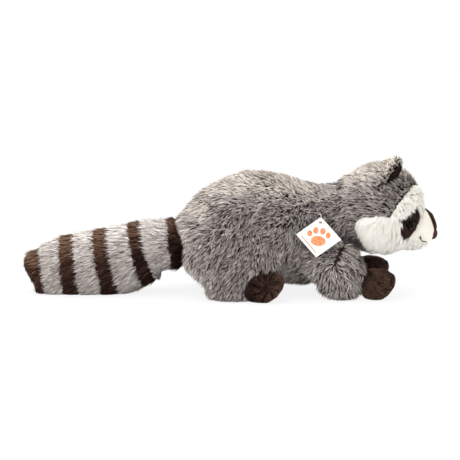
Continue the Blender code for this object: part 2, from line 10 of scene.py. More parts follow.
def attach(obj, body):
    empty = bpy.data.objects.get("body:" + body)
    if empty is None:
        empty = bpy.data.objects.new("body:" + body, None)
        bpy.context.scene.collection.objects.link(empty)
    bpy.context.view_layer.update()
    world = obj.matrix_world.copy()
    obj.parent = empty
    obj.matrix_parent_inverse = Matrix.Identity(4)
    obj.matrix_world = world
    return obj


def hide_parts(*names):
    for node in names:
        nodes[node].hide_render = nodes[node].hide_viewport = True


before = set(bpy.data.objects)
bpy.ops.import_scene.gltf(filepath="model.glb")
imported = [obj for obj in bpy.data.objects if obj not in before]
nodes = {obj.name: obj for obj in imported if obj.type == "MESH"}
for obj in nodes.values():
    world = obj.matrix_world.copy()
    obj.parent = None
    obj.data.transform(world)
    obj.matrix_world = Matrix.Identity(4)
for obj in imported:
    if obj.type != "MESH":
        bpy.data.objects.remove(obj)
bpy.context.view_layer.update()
bothSides = ("_right", "_left")
print("frame loaded:", len(nodes), "solids")


# shader nodes written as Python sums

class Wire:
    # one output socket, which can be added, multiplied and so on
    def __init__(self, graph, socket):
        self.graph = graph
        self.socket = socket

    def __add__(self, other):
        return self.graph.maths("ADD", self, other)

    def __sub__(self, other):
        return self.graph.maths("SUBTRACT", self, other)

    def __rsub__(self, other):
        return self.graph.maths("SUBTRACT", other, self)

    def __mul__(self, other):
        return self.graph.maths("MULTIPLY", self, other)

    def __truediv__(self, other):
        return self.graph.maths("DIVIDE", self, other)

    def __pow__(self, other):
        return self.graph.maths("POWER", self, other)

    def clamped(self):
        return self.graph.node("ShaderNodeClamp", {}, {0: self, 1: 0.0, 2: 1.0})

    __radd__ = __add__
    __rmul__ = __mul__


def fillRamp(ramp, stops):
    while len(ramp.elements) < len(stops):
        ramp.elements.new(1.0)
    for element, (place, colour) in zip(ramp.elements, stops):
        element.position = place
        element.color = (*colour, 1)


class Graph:
    # the nodes of a material, or of the world
    def __init__(self, name, world=None):
        self.material = world or bpy.data.materials.new(name)
        self.material.use_nodes = True
        self.tree = self.material.node_tree
        self.shader = self.tree.nodes["Background" if world else "Principled BSDF"]
        self.output = self.tree.nodes["World Output" if world else "Material Output"]

    def feed(self, socket, value):
        if isinstance(value, Wire):
            self.tree.links.new(value.socket, socket)
        elif isinstance(value, (tuple, list)) and len(value) == 3 and socket.type == "RGBA":
            socket.default_value = (*value, 1)
        else:
            socket.default_value = value

    def node(self, kind, settings, inputs, output=0):
        made = self.tree.nodes.new(kind)
        for key, value in settings.items():
            if key == "stops":
                fillRamp(made.color_ramp, value)
            else:
                setattr(made, key, value)
        for key, value in inputs.items():
            self.feed(made.inputs[key], value)
        return Wire(self, made.outputs[output])

    def maths(self, operation, first, second):
        return self.node("ShaderNodeMath", {"operation": operation}, {0: first, 1: second})

    def mix(self, factor, first, second):
        # a Mix node's colours go into its sockets 6 and 7 and come out of 2
        return self.node("ShaderNodeMix", {"data_type": "RGBA"}, {0: factor, 6: first, 7: second}, 2)

    def ramp(self, factor, stops):
        return self.node("ShaderNodeValToRGB", {"stops": stops}, {0: factor})

    def noise(self, scale, detail):
        inputs = {"Vector": self.place(), "Scale": scale, "Detail": detail}
        return self.node("ShaderNodeTexNoise", {}, inputs)

    def place(self):
        return self.node("ShaderNodeTexCoord", {}, {}, "Object")

    def painted(self, attribute):
        # a number stored on the mesh's points
        return self.node("ShaderNodeAttribute", {"attribute_name": attribute}, {}, "Fac")

    def smoothRange(self, value, low, high, start=0.0, end=1.0):
        inputs = {0: value, 1: low, 2: high, 3: start, 4: end}
        return self.node("ShaderNodeMapRange", {"interpolation_type": "SMOOTHSTEP"}, inputs)

    def bump(self, height, strength, distance):
        inputs = {"Height": height, "Strength": strength, "Distance": distance}
        return self.node("ShaderNodeBump", {}, inputs)

    def fix(self, **sockets):
        # constants, straight on the shader's sockets
        for name, value in sockets.items():
            self.shader.inputs[name.replace("_", " ")].default_value = value

    def finish(self, **sockets):
        for name, value in sockets.items():
            self.feed(self.shader.inputs[name.replace("_", " ")], value)
        return self.material


# materials of the pile and its backing

# colours run from the darkest strand's, at 0, to the lightest's, at 1; rise is where along a strand
# the roots' colour starts and ends its turn into the tips'
furLooks = {
    "grey": {
        "roots": [
            (0.0, (0.012, 0.007, 0.007)),
            (0.5, (0.058, 0.042, 0.040)),
            (0.75, (0.28, 0.235, 0.205)),
            (1.0, (0.66, 0.58, 0.49)),
        ],
        "tips": [
            (0.0, (0.018, 0.010, 0.010)),
            (0.25, (0.085, 0.062, 0.058)),
            (0.5, (0.37, 0.33, 0.32)),
            (0.75, (0.60, 0.54, 0.50)),
            (1.0, (0.86, 0.79, 0.70)),
        ],
        "rise": (0.15, 0.80),
    },
    "white": {
        "roots": [(0.0, (0.84, 0.80, 0.72)), (1.0, (0.94, 0.92, 0.86))],
        "tips": [(0.0, (0.70, 0.64, 0.55)), (0.35, (0.88, 0.85, 0.775)), (1.0, (0.95, 0.935, 0.89))],
        "rise": (0.0, 0.5),
    },
    "mask": {
        "roots": [(0.0, (0.006, 0.003, 0.003)), (1.0, (0.018, 0.009, 0.007))],
        "tips": [
            (0.0, (0.008, 0.004, 0.0035)),
            (0.6, (0.026, 0.013, 0.010)),
            (1.0, (0.085, 0.052, 0.040)),
        ],
        "rise": (0.2, 0.9),
    },
    "darkRing": {
        "roots": [(0.0, (0.005, 0.002, 0.002)), (1.0, (0.055, 0.028, 0.018))],
        "tips": [
            (0.0, (0.007, 0.003, 0.003)),
            (0.4, (0.028, 0.011, 0.009)),
            (0.75, (0.120, 0.062, 0.038)),
            (1.0, (0.300, 0.185, 0.120)),
        ],
        "rise": (0.1, 0.85),
    },
    "paleRing": {
        "roots": [(0.0, (0.12, 0.085, 0.070)), (1.0, (0.66, 0.59, 0.53))],
        "tips": [
            (0.0, (0.17, 0.125, 0.105)),
            (0.3, (0.40, 0.345, 0.325)),
            (0.6, (0.66, 0.61, 0.585)),
            (1.0, (0.96, 0.93, 0.88)),
        ],
        "rise": (0.05, 0.6),
    },
    "pawNap": {
        "roots": [(0.0, (0.004, 0.0015, 0.0015)), (1.0, (0.030, 0.014, 0.009))],
        "tips": [
            (0.0, (0.006, 0.002, 0.002)),
            (0.45, (0.036, 0.015, 0.0115)),
            (0.8, (0.115, 0.059, 0.041)),
            (1.0, (0.220, 0.130, 0.092)),
        ],
        "rise": (0.1, 0.9),
    },
    "creamNap": {
        "roots": [(0.0, (0.74, 0.66, 0.53)), (1.0, (0.90, 0.85, 0.75))],
        "tips": [(0.0, (0.84, 0.78, 0.66)), (0.5, (0.95, 0.92, 0.84)), (1.0, (0.98, 0.96, 0.90))],
        "rise": (0.0, 0.5),
    },
}
# each knitted backing's dark and light colour
backingLooks = {
    "grey": [(0.012, 0.008, 0.007), (0.055, 0.040, 0.036)],
    "white": [(0.84, 0.80, 0.72), (0.93, 0.90, 0.84)],
    "mask": [(0.004, 0.002, 0.002), (0.014, 0.007, 0.006)],
    "darkRing": [(0.004, 0.002, 0.001), (0.016, 0.008, 0.005)],
    "paleRing": [(0.16, 0.125, 0.105), (0.34, 0.29, 0.255)],
}
knitLook = {
    "patches": 260.0, "stitches": 1900.0,  # the noises' scales
    "patchShare": 0.6,
    "rough": 0.95, "gloss": 0.15, "bump": 0.7, "height": 0.0006,
}
clothLook = {
    "gloss": 0.08,
    "strandRough": (0.95, 0.78),  # at a strand's root and tip
    "napRough": (0.95, 0.80),
    "brushed": 150.0, "nap": 2600.0,  # the noises' scales
    "brushedShare": 0.6, "bump": 0.8, "sheenRough": 0.45,
}


def furMaterial(name, look):
    # colour from the strand's own map: across is its tone, and along runs from root to tip
    graph = Graph(name)
    mapped = graph.node("ShaderNodeUVMap", {"uv_map": "OFBake"}, {})
    tone = graph.node("ShaderNodeSeparateXYZ", {}, {0: mapped}, "X")
    along = graph.node("ShaderNodeSeparateXYZ", {}, {0: mapped}, "Y")
    grown = graph.smoothRange(along, *look["rise"])
    colour = graph.mix(grown, graph.ramp(tone, look["roots"]), graph.ramp(tone, look["tips"]))
    graph.fix(Specular_IOR_Level=clothLook["gloss"])
    rough = graph.smoothRange(along, 0.0, 1.0, *clothLook["strandRough"])
    return graph.finish(Base_Color=colour, Roughness=rough)


def backingMaterial(name, dark, light):
    # knitted backing that the pile is woven into
    graph = Graph(name)
    patches = graph.noise(knitLook["patches"], 4.0)
    knit = graph.noise(knitLook["stitches"], 2.0)
    lit = patches * knitLook["patchShare"] + knit * (1 - knitLook["patchShare"])
    colour = graph.mix(lit.clamped(), dark, light)
    graph.fix(Specular_IOR_Level=knitLook["gloss"])
    normal = graph.bump(knit + patches * 0.5, knitLook["bump"], knitLook["height"])
    return graph.finish(Base_Color=colour, Roughness=knitLook["rough"], Normal=normal)


furMaterials = {key: furMaterial(key + "Pile", look) for key, look in furLooks.items()}
backingNames = {"darkRing": "darkBacking", "paleRing": "paleBacking"}
backings = {
    key: backingMaterial(backingNames.get(key, key + "Backing"), *colours)
    for key, colours in backingLooks.items()
}


# materials of the short-pile pieces, the eyes and the threads

velourLooks = {
    "paw": {
        "name": "pawVelour", "dark": (0.006, 0.0025, 0.002), "light": (0.036, 0.018, 0.012),
        "sheen": 0.04, "height": 0.0009,
    },
    "stripe": {
        "name": "stripeVelour", "dark": (0.014, 0.006, 0.004), "light": (0.075, 0.038, 0.022),
        "sheen": 0.05, "height": 0.0009,
    },
    "ear": {
        "name": "earVelour", "dark": (0.005, 0.002, 0.0015), "light": (0.024, 0.011, 0.008),
        "sheen": 0.0, "height": 0.0009,
    },
    "nose": {
        "name": "noseWeave", "dark": (0.022, 0.006, 0.005), "light": (0.085, 0.030, 0.024),
        "sheen": 0.08, "height": 0.0004,
    },
}
muzzleLook = {
    "dark": (0.84, 0.78, 0.66), "light": (0.96, 0.93, 0.86), "height": 0.0007,
    # beside the stripe: how ragged the edges are, and how near tan and then brown set in
    "ragged": 0.24, "tan": (0.46, 0.25, 0.12), "tanFrom": (0.10, 0.34),
    "brown": (0.050, 0.022, 0.014), "brownFrom": (0.42, 0.62),
}
eyeLook = {
    "haze": 420.0, "dark": (0.002, 0.0015, 0.0015), "light": (0.008, 0.006, 0.005),
    "rough": (0.10, 0.20), "gloss": 0.03, "coat": 0.01, "coatRough": 0.04,
}


def napFinish(graph, colour, pile, height):
    # dull, and as uneven as the short pile
    graph.fix(Specular_IOR_Level=clothLook["gloss"])
    rough = graph.smoothRange(pile, 0.3, 0.7, *clothLook["napRough"])
    normal = graph.bump(pile, clothLook["bump"], height)
    return graph.finish(Base_Color=colour, Roughness=rough, Normal=normal)


def velourMaterial(look):
    # short upright pile, brushed lighter in patches, with painted shade where the cloth is drawn into hollows
    graph = Graph(look["name"])
    brushed = graph.noise(clothLook["brushed"], 4.0)
    pile = graph.noise(clothLook["nap"], 2.0)
    share = clothLook["brushedShare"]
    lit = graph.smoothRange(brushed, 0.35, 0.68) * share + pile * (1 - share)
    # the cloth's colour darkens by the painted shade stored in its hollows
    colour = graph.mix((lit * (1 - graph.painted("drawn"))).clamped(), look["dark"], look["light"])
    graph.fix(Sheen_Weight=look["sheen"], Sheen_Roughness=clothLook["sheenRough"])
    return napFinish(graph, colour, pile, look["height"])


def muzzleMaterial(look):
    # cream cloth, tan and then brown where it is sewn to the stripe
    graph = Graph("creamVelour")
    brushed = graph.noise(clothLook["brushed"], 4.0)
    pile = graph.noise(clothLook["nap"], 2.0)
    share = clothLook["brushedShare"]
    cream = graph.mix(brushed * share + pile * (1 - share), look["dark"], look["light"])
    ragged = (graph.painted("beside") + pile * look["ragged"] - look["ragged"] / 2).clamped()
    tan = graph.mix(graph.smoothRange(ragged, *look["tanFrom"]), cream, look["tan"])
    colour = graph.mix(graph.smoothRange(ragged, *look["brownFrom"]), tan, look["brown"])
    return napFinish(graph, colour, pile, look["height"])


def eyeMaterial(look):
    graph = Graph("eyeBead")
    haze = graph.noise(look["haze"], 2.0)
    graph.fix(Specular_IOR_Level=look["gloss"], Coat_Weight=look["coat"], Coat_Roughness=look["coatRough"])
    rough = graph.smoothRange(haze, 0.2, 0.8, *look["rough"])
    return graph.finish(Base_Color=graph.mix(haze, look["dark"], look["light"]), Roughness=rough)


def threadMaterial(name, dark, light, twist):
    # plies show as slanted bands, so many to the metre
    graph = Graph(name)
    inputs = {"Vector": graph.place(), "Scale": twist}
    ply = graph.node("ShaderNodeTexWave", {"bands_direction": "DIAGONAL"}, inputs)
    colour = graph.mix(ply, dark, light)
    return graph.finish(Base_Color=colour, Roughness=0.7, Normal=graph.bump(ply, 0.6, 0.0002))


velours = {kind: velourMaterial(look) for kind, look in velourLooks.items()}
velours["cream"] = muzzleMaterial(muzzleLook)
print("materials made")


# meshes, and numbers over their points

def unit(vectors):
    return vectors / np.maximum(np.linalg.norm(vectors, axis=-1, keepdims=True), 1e-12)


def rising(values, start, width):
    # nothing up to a start, then growing to one over a width
    return np.clip((values - start) / width, 0, 1)


def falling(values, start, width):
    # one until a width before the start, then down to nothing at it
    return np.clip((start - values) / width, 0, 1)


def positive(values):
    return np.clip(values, 0, 1)


def treeOf(points, faces):
    return BVHTree.FromPolygons([tuple(point) for point in points], faces)


def solidArrays(solid):
    # welded points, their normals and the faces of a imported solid
    shape = bmesh.new()
    shape.from_mesh(solid.data)
    bmesh.ops.remove_doubles(shape, verts=shape.verts, dist=1e-6)
    shape.normal_update()
    points = np.array([v.co for v in shape.verts])
    normals = np.array([v.normal for v in shape.verts])
    faces = [[v.index for v in face.verts] for face in shape.faces]
    shape.free()
    return points, normals, faces


def meshObject(name, points, faces, material=None):
    mesh = bpy.data.meshes.new(name)
    mesh.from_pydata([tuple(p) for p in points], [], [tuple(f) for f in faces])
    mesh.shade_smooth()
    made = bpy.data.objects.new(name, mesh)
    bpy.context.scene.collection.objects.link(made)
    if material:
        mesh.materials.append(material)
    return made


def paint(piece, attribute, values):
    # store a number on each point, for its material
    stored = piece.data.attributes.new(attribute, "FLOAT", "POINT")
    stored.data.foreach_set("value", values.astype(np.float32))


def remeshed(name, points, faces, voxel):
    # one closed skin of even squares round everything given
    rough = meshObject(name, points, faces)
    modifier = rough.modifiers.new("even", "REMESH")
    modifier.mode = "VOXEL"
    modifier.voxel_size = voxel
    even = rough.evaluated_get(bpy.context.evaluated_depsgraph_get()).to_mesh()
    found = np.empty(len(even.vertices) * 3, np.float32)
    even.vertices.foreach_get("co", found)
    squares = [list(polygon.vertices) for polygon in even.polygons]
    bpy.data.objects.remove(rough)
    return found.reshape(-1, 3).astype(float), squares


class Skin:
    # points and faces with their neighbours, for smoothing, moving and strewing
    def __init__(self, points, faces):
        self.points = points
        self.faces = faces
        self.triangles = np.array([(f[0], f[i], f[i + 1]) for f in faces for i in range(1, len(f) - 1)])
        edges = np.array([(f[i], f[i - 1]) for f in faces for i in range(len(f))])
        self.ends = np.concatenate([edges, edges[:, ::-1]])
        self.degree = np.bincount(self.ends[:, 0], minlength=len(points))[:, None]

    def averaged(self, values):
        # the mean of each point's neighbours
        columns = values if values.ndim > 1 else values[:, None]
        near, far = self.ends.T
        sums = [np.bincount(near, column[far], len(self.points)) for column in columns.T]
        means = np.stack(sums, axis=1) / self.degree
        return means if values.ndim > 1 else means[:, 0]

    def soften(self, values, rounds, share=0.6):
        for _ in range(rounds):
            values = values + share * (self.averaged(values) - values)
        return values

    def normals(self):
        corners = self.triangles.T
        a, b, c = (self.points[corner] for corner in corners)
        faced = np.cross(b - a, c - a)
        count = len(self.points)
        sums = [sum(np.bincount(corner, part, count) for corner in corners) for part in faced.T]
        return unit(np.stack(sums, axis=1))

    def strewn(self, triangles, spacing, rng):
        # even places on some triangles, as the three points round each and their weights
        a, b, c = (self.points[corner] for corner in triangles.T)
        area = np.linalg.norm(np.cross(b - a, c - a), axis=1) / 2
        count = np.floor(area / spacing ** 2 + rng.random(len(area))).astype(int)
        round3 = triangles[np.repeat(np.arange(len(triangles)), count)]
        u, v = rng.random((2, len(round3), 1))
        over = (u + v) > 1
        u, v = np.where(over, 1 - u, u), np.where(over, 1 - v, v)
        return round3, [1 - u - v, u, v]


def weighted(values, round3, weights):
    return sum(values[round3[:, i]] * weight for i, weight in enumerate(weights))


def dress(piece, replaced):
    # a stuffed piece that stands for a solid
    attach(piece, "root")
    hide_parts(replaced)


# which solid wears which coat

coatOf = {"body": "grey", "head": "grey", "chin": "chin"}
velourOf = {"muzzle": "cream", "muzzle_stripe": "stripe", "nose": "nose"}
for side in bothSides:
    coatOf.update({
        "hind_leg" + side: "grey", "front_leg" + side: "grey", "ear" + side: "ear",
        "brow" + side: "brow", "cheek" + side: "cheek", "eye_mask" + side: "mask",
    })
    velourOf.update({"hind_paw" + side: "paw", "front_paw" + side: "paw", "ear_lining" + side: "ear"})
for ring in range(1, 9):
    coatOf[f"tail_ring_{ring}"] = "darkRing" if ring % 2 else "paleRing"
coatOf["tail_tip"] = "darkRing"

# Lengths are in metres. depth is how far the backing lies under the solid's face, and lean is from
# upright. A tuft has so many strands round its root, within spread, and gather draws in their tips.
# wander is how far tufts turn aside, in degrees, and uneven is how much the strands' tones differ.
coats = {
    "grey": {
        "pile": "grey", "depth": 0.0046, "length": 0.0088, "lean": 50, "spacing": 0.00146,
        "strands": 5, "spread": 0.0010, "halfWidth": 0.00026, "gather": 0.76, "wander": 18,
    },
    "ear": {
        "pile": "grey", "depth": 0.0006, "length": 0.0045, "lean": 42, "spacing": 0.0012,
        "strands": 6, "spread": 0.0008, "halfWidth": 0.00024, "gather": 0.80, "wander": 75,
    },
    "cheek": {
        "pile": "white", "depth": 0.0038, "length": 0.0098, "lean": 57, "spacing": 0.0011, "uneven": 0.12,
        "strands": 5, "spread": 0.0012, "halfWidth": 0.00026, "gather": 0.35, "wander": 13,
    },
    "brow": {
        "pile": "white", "depth": 0.0028, "length": 0.0080, "lean": 55, "spacing": 0.0011, "uneven": 0.12,
        "strands": 5, "spread": 0.0011, "halfWidth": 0.00026, "gather": 0.40, "wander": 18,
    },
    "chin": {
        "pile": "white", "depth": 0.0018, "length": 0.0056, "lean": 50, "spacing": 0.0012, "uneven": 0.12,
        "strands": 5, "spread": 0.0011, "halfWidth": 0.00028, "gather": 0.20, "wander": 14,
    },
    "mask": {
        "pile": "mask", "depth": 0.0018, "length": 0.0048, "lean": 58, "spacing": 0.0012, "uneven": 0.12,
        "strands": 6, "spread": 0.0009, "halfWidth": 0.00028, "gather": 0.45, "wander": 12,
    },
    "darkRing": {
        "pile": "darkRing", "depth": 0.0034, "length": 0.0098, "lean": 64, "spacing": 0.0014, "uneven": 0.12,
        "strands": 6, "spread": 0.0010, "halfWidth": 0.00024, "gather": 0.45, "wander": 9,
    },
    "paleRing": {
        "pile": "paleRing", "depth": 0.0036, "length": 0.0108, "lean": 64, "spacing": 0.0014, "uneven": 0.14,
        "strands": 7, "spread": 0.0010, "halfWidth": 0.00022, "gather": 0.62, "wander": 10,
    },
}
velourDepth = 0.0030
softNames = sorted(coatOf) + sorted(velourOf)
numberOf = {name: number for number, name in enumerate(softNames)}

# one closed skin round all soft solids, so that neighbours meet without a gap

skinLook = {"voxel": 0.0020, "overlap": 0.0005, "smoothing": 6, "blend": 5}

skinPoints, solidPoints, solidFaces, faceNames = [], [], [], []
start = 0
for name in softNames:
    points, normals, faces = solidArrays(nodes[name])
    solidPoints.append(points)
    skinPoints.append(points + normals * skinLook["overlap"])
    solidFaces += [[v + start for v in face] for face in faces]
    faceNames += [name] * len(faces)
    start += len(points)
solidPoints = np.concatenate(solidPoints)
solidTree = treeOf(solidPoints, solidFaces)
skin = Skin(*remeshed("softSkin", np.concatenate(skinPoints), solidFaces, skinLook["voxel"]))
skin.points = skin.soften(skin.points, skinLook["smoothing"], 0.5)
print("skin:", len(skin.faces), "squares")


def ownersAt(places):
    # the number of the soft solid nearest to each place
    faces = [solidTree.find_nearest(Vector(place))[2] for place in places]
    return np.array([numberOf[faceNames[face]] for face in faces])


# the way the pile is brushed

brushed = {
    "usual": (-0.62, 0.0, -0.78),
    "trunkTop": 0.90,  # share of the fall that is lost where the trunk looks up
    "tailMiddle": 0.036, "tailFall": -0.36, "tailSpread": 0.44,
    "whorl": (0.100, 0.0, 0.034), "whorlShare": 0.55, "whorlFall": (-0.22, 0.0, -0.62),
    "faceMiddle": (0.200, 0.0, 0.070), "headFall": (-0.55, 0.0, 0.0),
    "weak": 0.12,  # under this much along the surface, the pile lies backward instead
}
brushedPieces = {
    "tail": (-1.0, 0.0, -0.06),
    "hind_leg": (-0.50, 0.0, -0.85),
    "ear": (0.40, 0.0, 0.90),
    "cheek": (-0.50, 0.0, -0.80),
    "brow": (0.25, 0.0, -0.70),
    "eye_mask": (-0.20, 0.0, -0.95),
    "chin": (-0.50, 0.0, -0.80),
}


def alongSurface(flow, normals):
    flow = flow - normals * (flow * normals).sum(axis=1, keepdims=True)
    weak = np.linalg.norm(flow, axis=1, keepdims=True) < brushed["weak"]
    return unit(np.where(weak, np.cross(normals, (0.0, 1.0, 0.0)), flow))


def laid(name, places, normals):
    # the way a piece's pile lies along its surface
    flow = np.tile(brushed["usual"], (len(places), 1))
    if name == "body":
        flow[:, 2] *= 1 - brushed["trunkTop"] * positive(normals[:, 2] * 1.1)
    for start, way in brushedPieces.items():
        if name.startswith(start):
            flow[:] = way
    if name.startswith("tail"):
        middle = brushed["tailMiddle"]
        up = np.clip((places[:, 2] - middle) / middle, -1, 1)
        flow[:, 2] = brushed["tailFall"] + brushed["tailSpread"] * up
    if name.startswith("front_leg"):
        away = (places - np.array(brushed["whorl"])) * (1, 0, 1)
        flow = unit(away) * brushed["whorlShare"] + np.array(brushed["whorlFall"])
    if name == "head":
        flow = unit(places - np.array(brushed["faceMiddle"])) + np.array(brushed["headFall"])
    return alongSurface(flow, normals)


# which piece's pile shows where: the face panels reach over the head, and the rump over the tail

faceLook = {
    "tilt": 8, "tiltHeight": 0.085,  # the head lolls over by this many degrees, about this height
    "start": 0.150, "mask": 0.0036, "maskTop": 0.084,
    "chinStart": 0.146, "chinTop": 0.061,
    "cheek": 0.0060, "cheekTop": 0.080,
    "browStart": 0.172, "brow": 0.0070, "browTop": 0.098,
    "parting": 0.0028,  # half the grey parting between the brows
}
rumpOverTail = 0.0075
landingShare = 0.72  # share of a strand's reach at which it takes its colour


def treeUnder(start):
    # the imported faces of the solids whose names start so
    return treeOf(solidPoints, [face for face, name in zip(solidFaces, faceNames) if name.startswith(start)])


spreading = ("eye_mask", "body", "cheek", "brow")
maskTree, bodyTree, cheekTree, browTree = (treeUnder(start) for start in spreading)


def panelAt(own, place, aside):
    # the piece that a place belongs to once the panels are spread over their neighbours
    x, _, z = place
    spot = Vector(place)
    side = "_right" if aside < 0 else "_left"
    if x > faceLook["start"] and z < faceLook["maskTop"] and own.startswith(("cheek", "head", "chin")):
        if maskTree.find_nearest(spot, faceLook["mask"])[0]:
            return "eye_mask" + side
    if own == "tail_ring_1" and bodyTree.find_nearest(spot)[3] < rumpOverTail:
        return "body"
    if own != "head":
        return own
    if x > faceLook["chinStart"] and z < faceLook["chinTop"]:
        return "chin"
    if x > faceLook["start"] and cheekTree.find_nearest(spot)[3] < faceLook["cheek"]:
        return "cheek" + side if z < faceLook["cheekTop"] else own
    if x > faceLook["browStart"] and z < faceLook["browTop"] and abs(aside) > faceLook["parting"]:
        if browTree.find_nearest(spot)[3] < faceLook["brow"]:
            return "brow" + side
    return own


# a strand's tip lands downstream of its root, so the root takes the colour of the piece it lands on
rootOwner = ownersAt(skin.points)
rootNormals = skin.normals()
landing = skin.points.copy()
for name in sorted(coatOf):
    own = rootOwner == numberOf[name]
    if own.any():
        coat = coats[coatOf[name]]
        reach = landingShare * coat["length"] * math.sin(math.radians(coat["lean"]))
        landing[own] += laid(name, skin.points[own], rootNormals[own]) * reach
tilt = math.radians(faceLook["tilt"])
across = landing[:, 1] * math.cos(tilt) - (landing[:, 2] - faceLook["tiltHeight"]) * math.sin(tilt)
landed = ownersAt(landing)
shown = np.array([
    numberOf[panelAt(softNames[own], place, aside)] for own, place, aside in zip(landed, landing, across)
])
velourNumbers = [numberOf[name] for name in velourOf]
atVelour = np.isin(shown, velourNumbers) | np.isin(rootOwner, velourNumbers)
shown = np.where(atVelour, rootOwner, shown)
shares = skin.soften(np.eye(len(softNames))[shown], 3, 0.7)
seam = 1 - shares.max(axis=1)


# the skin is laid under the pile

# the pairs are where an effect starts and over how much it grows, in metres
depthLook = {
    "whiteSmoothing": 0.85,
    "pressed": 0.72, "pressedBelow": (0.010, 0.008),  # share of the depth lost against the floor
    "rump": 1.25, "rumpBehind": (-0.026, 0.012), "rumpBelow": (0.084, 0.014),
    "seam": 0.0016,
    "neck": 0.0056, "neckAbove": 0.06, "neckOnHead": 0.40,  # the neck's crease is filled
    "corner": 0.0080, "cornerBelow": (0.034, 0.022),  # haunches and front legs, rounder by the floor
    "haunchBehind": (-0.010, 0.022), "haunchStart": -0.070, "legBehind": (0.112, 0.024),
}


def shareOf(*names):
    return sum(shares[:, numberOf[name]] for name in names)


coatDepth = np.array([coats[coatOf[n]]["depth"] if n in coatOf else velourDepth for n in softNames])
depth = skin.soften(coatDepth[shown], skinLook["blend"])
whiteNames = [name for name in sorted(coatOf) if coats[coatOf[name]]["pile"] == "white"]
white = positive(skin.soften(shareOf(*whiteNames), 5))[:, None]
skin.points += white * depthLook["whiteSmoothing"] * (skin.soften(skin.points, 14, 0.6) - skin.points)
outward = unit(skin.soften(skin.normals(), 2))
x, _, z = skin.points.T

pressed = falling(z, *depthLook["pressedBelow"]) * positive(-outward[:, 2] * 1.6)
rump = falling(x, *depthLook["rumpBehind"]) * positive(-outward[:, 0] * 1.3)
rump *= (shown == numberOf["body"]) * falling(z, *depthLook["rumpBelow"])
low = falling(z, *depthLook["cornerBelow"])
corner = low * falling(x, *depthLook["haunchBehind"]) * (x > depthLook["haunchStart"])
corner += low * falling(x, *depthLook["legBehind"]) * shareOf("front_leg_right", "front_leg_left")
neck = np.minimum(shareOf("body"), shareOf("head")) * (z > depthLook["neckAbove"])
neck = positive(skin.soften(neck, 16, 0.9) * 12)
neck *= positive(skin.soften(shareOf("body"), 6, 0.9) * 1.5 + depthLook["neckOnHead"])

depth = depth * (1 - depthLook["pressed"] * pressed) * (1 - depthLook["rump"] * rump)
depth += depthLook["seam"] * positive(seam * 2.2) - depthLook["neck"] * neck
depth += depthLook["corner"] * skin.soften(corner, 4)
skin.points = skin.soften(skin.points - outward * depth[:, None], 2, 0.4)
skinNormals = skin.normals()
print("skin laid under the pile")


# covers: the skin cut into the sewn pieces

corners4 = np.array([face if len(face) == 4 else [*face, face[-1]] for face in skin.faces])
faceOwner = shares[corners4].sum(axis=1).argmax(axis=1)
for name in sorted(coatOf):
    kept = [skin.faces[i] for i in np.nonzero(faceOwner == numberOf[name])[0]]
    used = sorted({v for face in kept for v in face})
    place = {v: i for i, v in enumerate(used)}
    faces = [[place[v] for v in face] for face in kept]
    pile = coats[coatOf[name]]["pile"]
    cover = meshObject(name + "_cover", skin.points[used], faces, backings[pile])
    dress(cover, name)
print("covers cut")


# paws, muzzle, stripe, nose and ear linings

velourPieces = {
    "paw": {"slot": "paw_velour", "voxel": 0.0008, "smoothing": 2},
    "cream": {"slot": "cream_velour", "voxel": 0.0009, "smoothing": 8},
    "stripe": {"slot": "stripe_velour", "voxel": 0.0006, "smoothing": 6},
    "nose": {"slot": "nose_velour", "voxel": 0.0005, "smoothing": 6},
    "ear": {"slot": "ear_velour", "voxel": 0.0007, "smoothing": 4},
}
# how much larger a piece is than its solid, about its middle, and how far it is moved
resized = {
    "ear_lining": [(0.96, 1.0, 0.94), (-0.0002, 0.0, -0.0024)],
    "nose": [(1.60, 1.30, 1.50), (-0.0026, 0.0, 0.0024)],
    "muzzle_stripe": [(1.0, 1.40, 1.0), (0.0002, 0.0, 0.0004)],
}
muzzleForm = {"wider": 0.07, "deeper": 0.0034, "front": 0.011, "narrower": 0.30, "shorter": 0.0016}
# gather is where stitches draw the toes in, and folds run out from there
pawForms = {
    "hind": {"raised": 0.0105, "fold": 0.0016, "gather": (0.0350, 0.0180), "folds": 9, "turn": 0.5},
    "front": {"raised": 0.0095, "fold": 0.0007, "gather": (0.1590, 0.0130), "folds": 5, "turn": 1.2},
}
foldForm = {
    "spiral": 260, "start": 0.003, "reach": 0.012, "fade": 1.6, "between": -0.2,
    "dimple": 0.9, "dimpleRadius": 0.0022, "outer": 0.004, "toeCurve": 1.6,
}


def foldOf(name, points):
    # folds that run out from the gather, deepest at some way out, and the dimple in their middle
    form = pawForms[name.split("_")[0]]
    x, z = points[:, 0] - form["gather"][0], points[:, 2] - form["gather"][1]
    reach = np.hypot(x, z)
    wave = np.cos(np.arctan2(z, x) * form["folds"] + form["turn"] + reach * foldForm["spiral"])
    near = positive(reach / foldForm["start"]) * positive(foldForm["fade"] - reach / foldForm["reach"])
    dimple = foldForm["dimple"] * np.exp(-(reach / foldForm["dimpleRadius"]) ** 2)
    return np.clip(wave, foldForm["between"], 1) * near + dimple


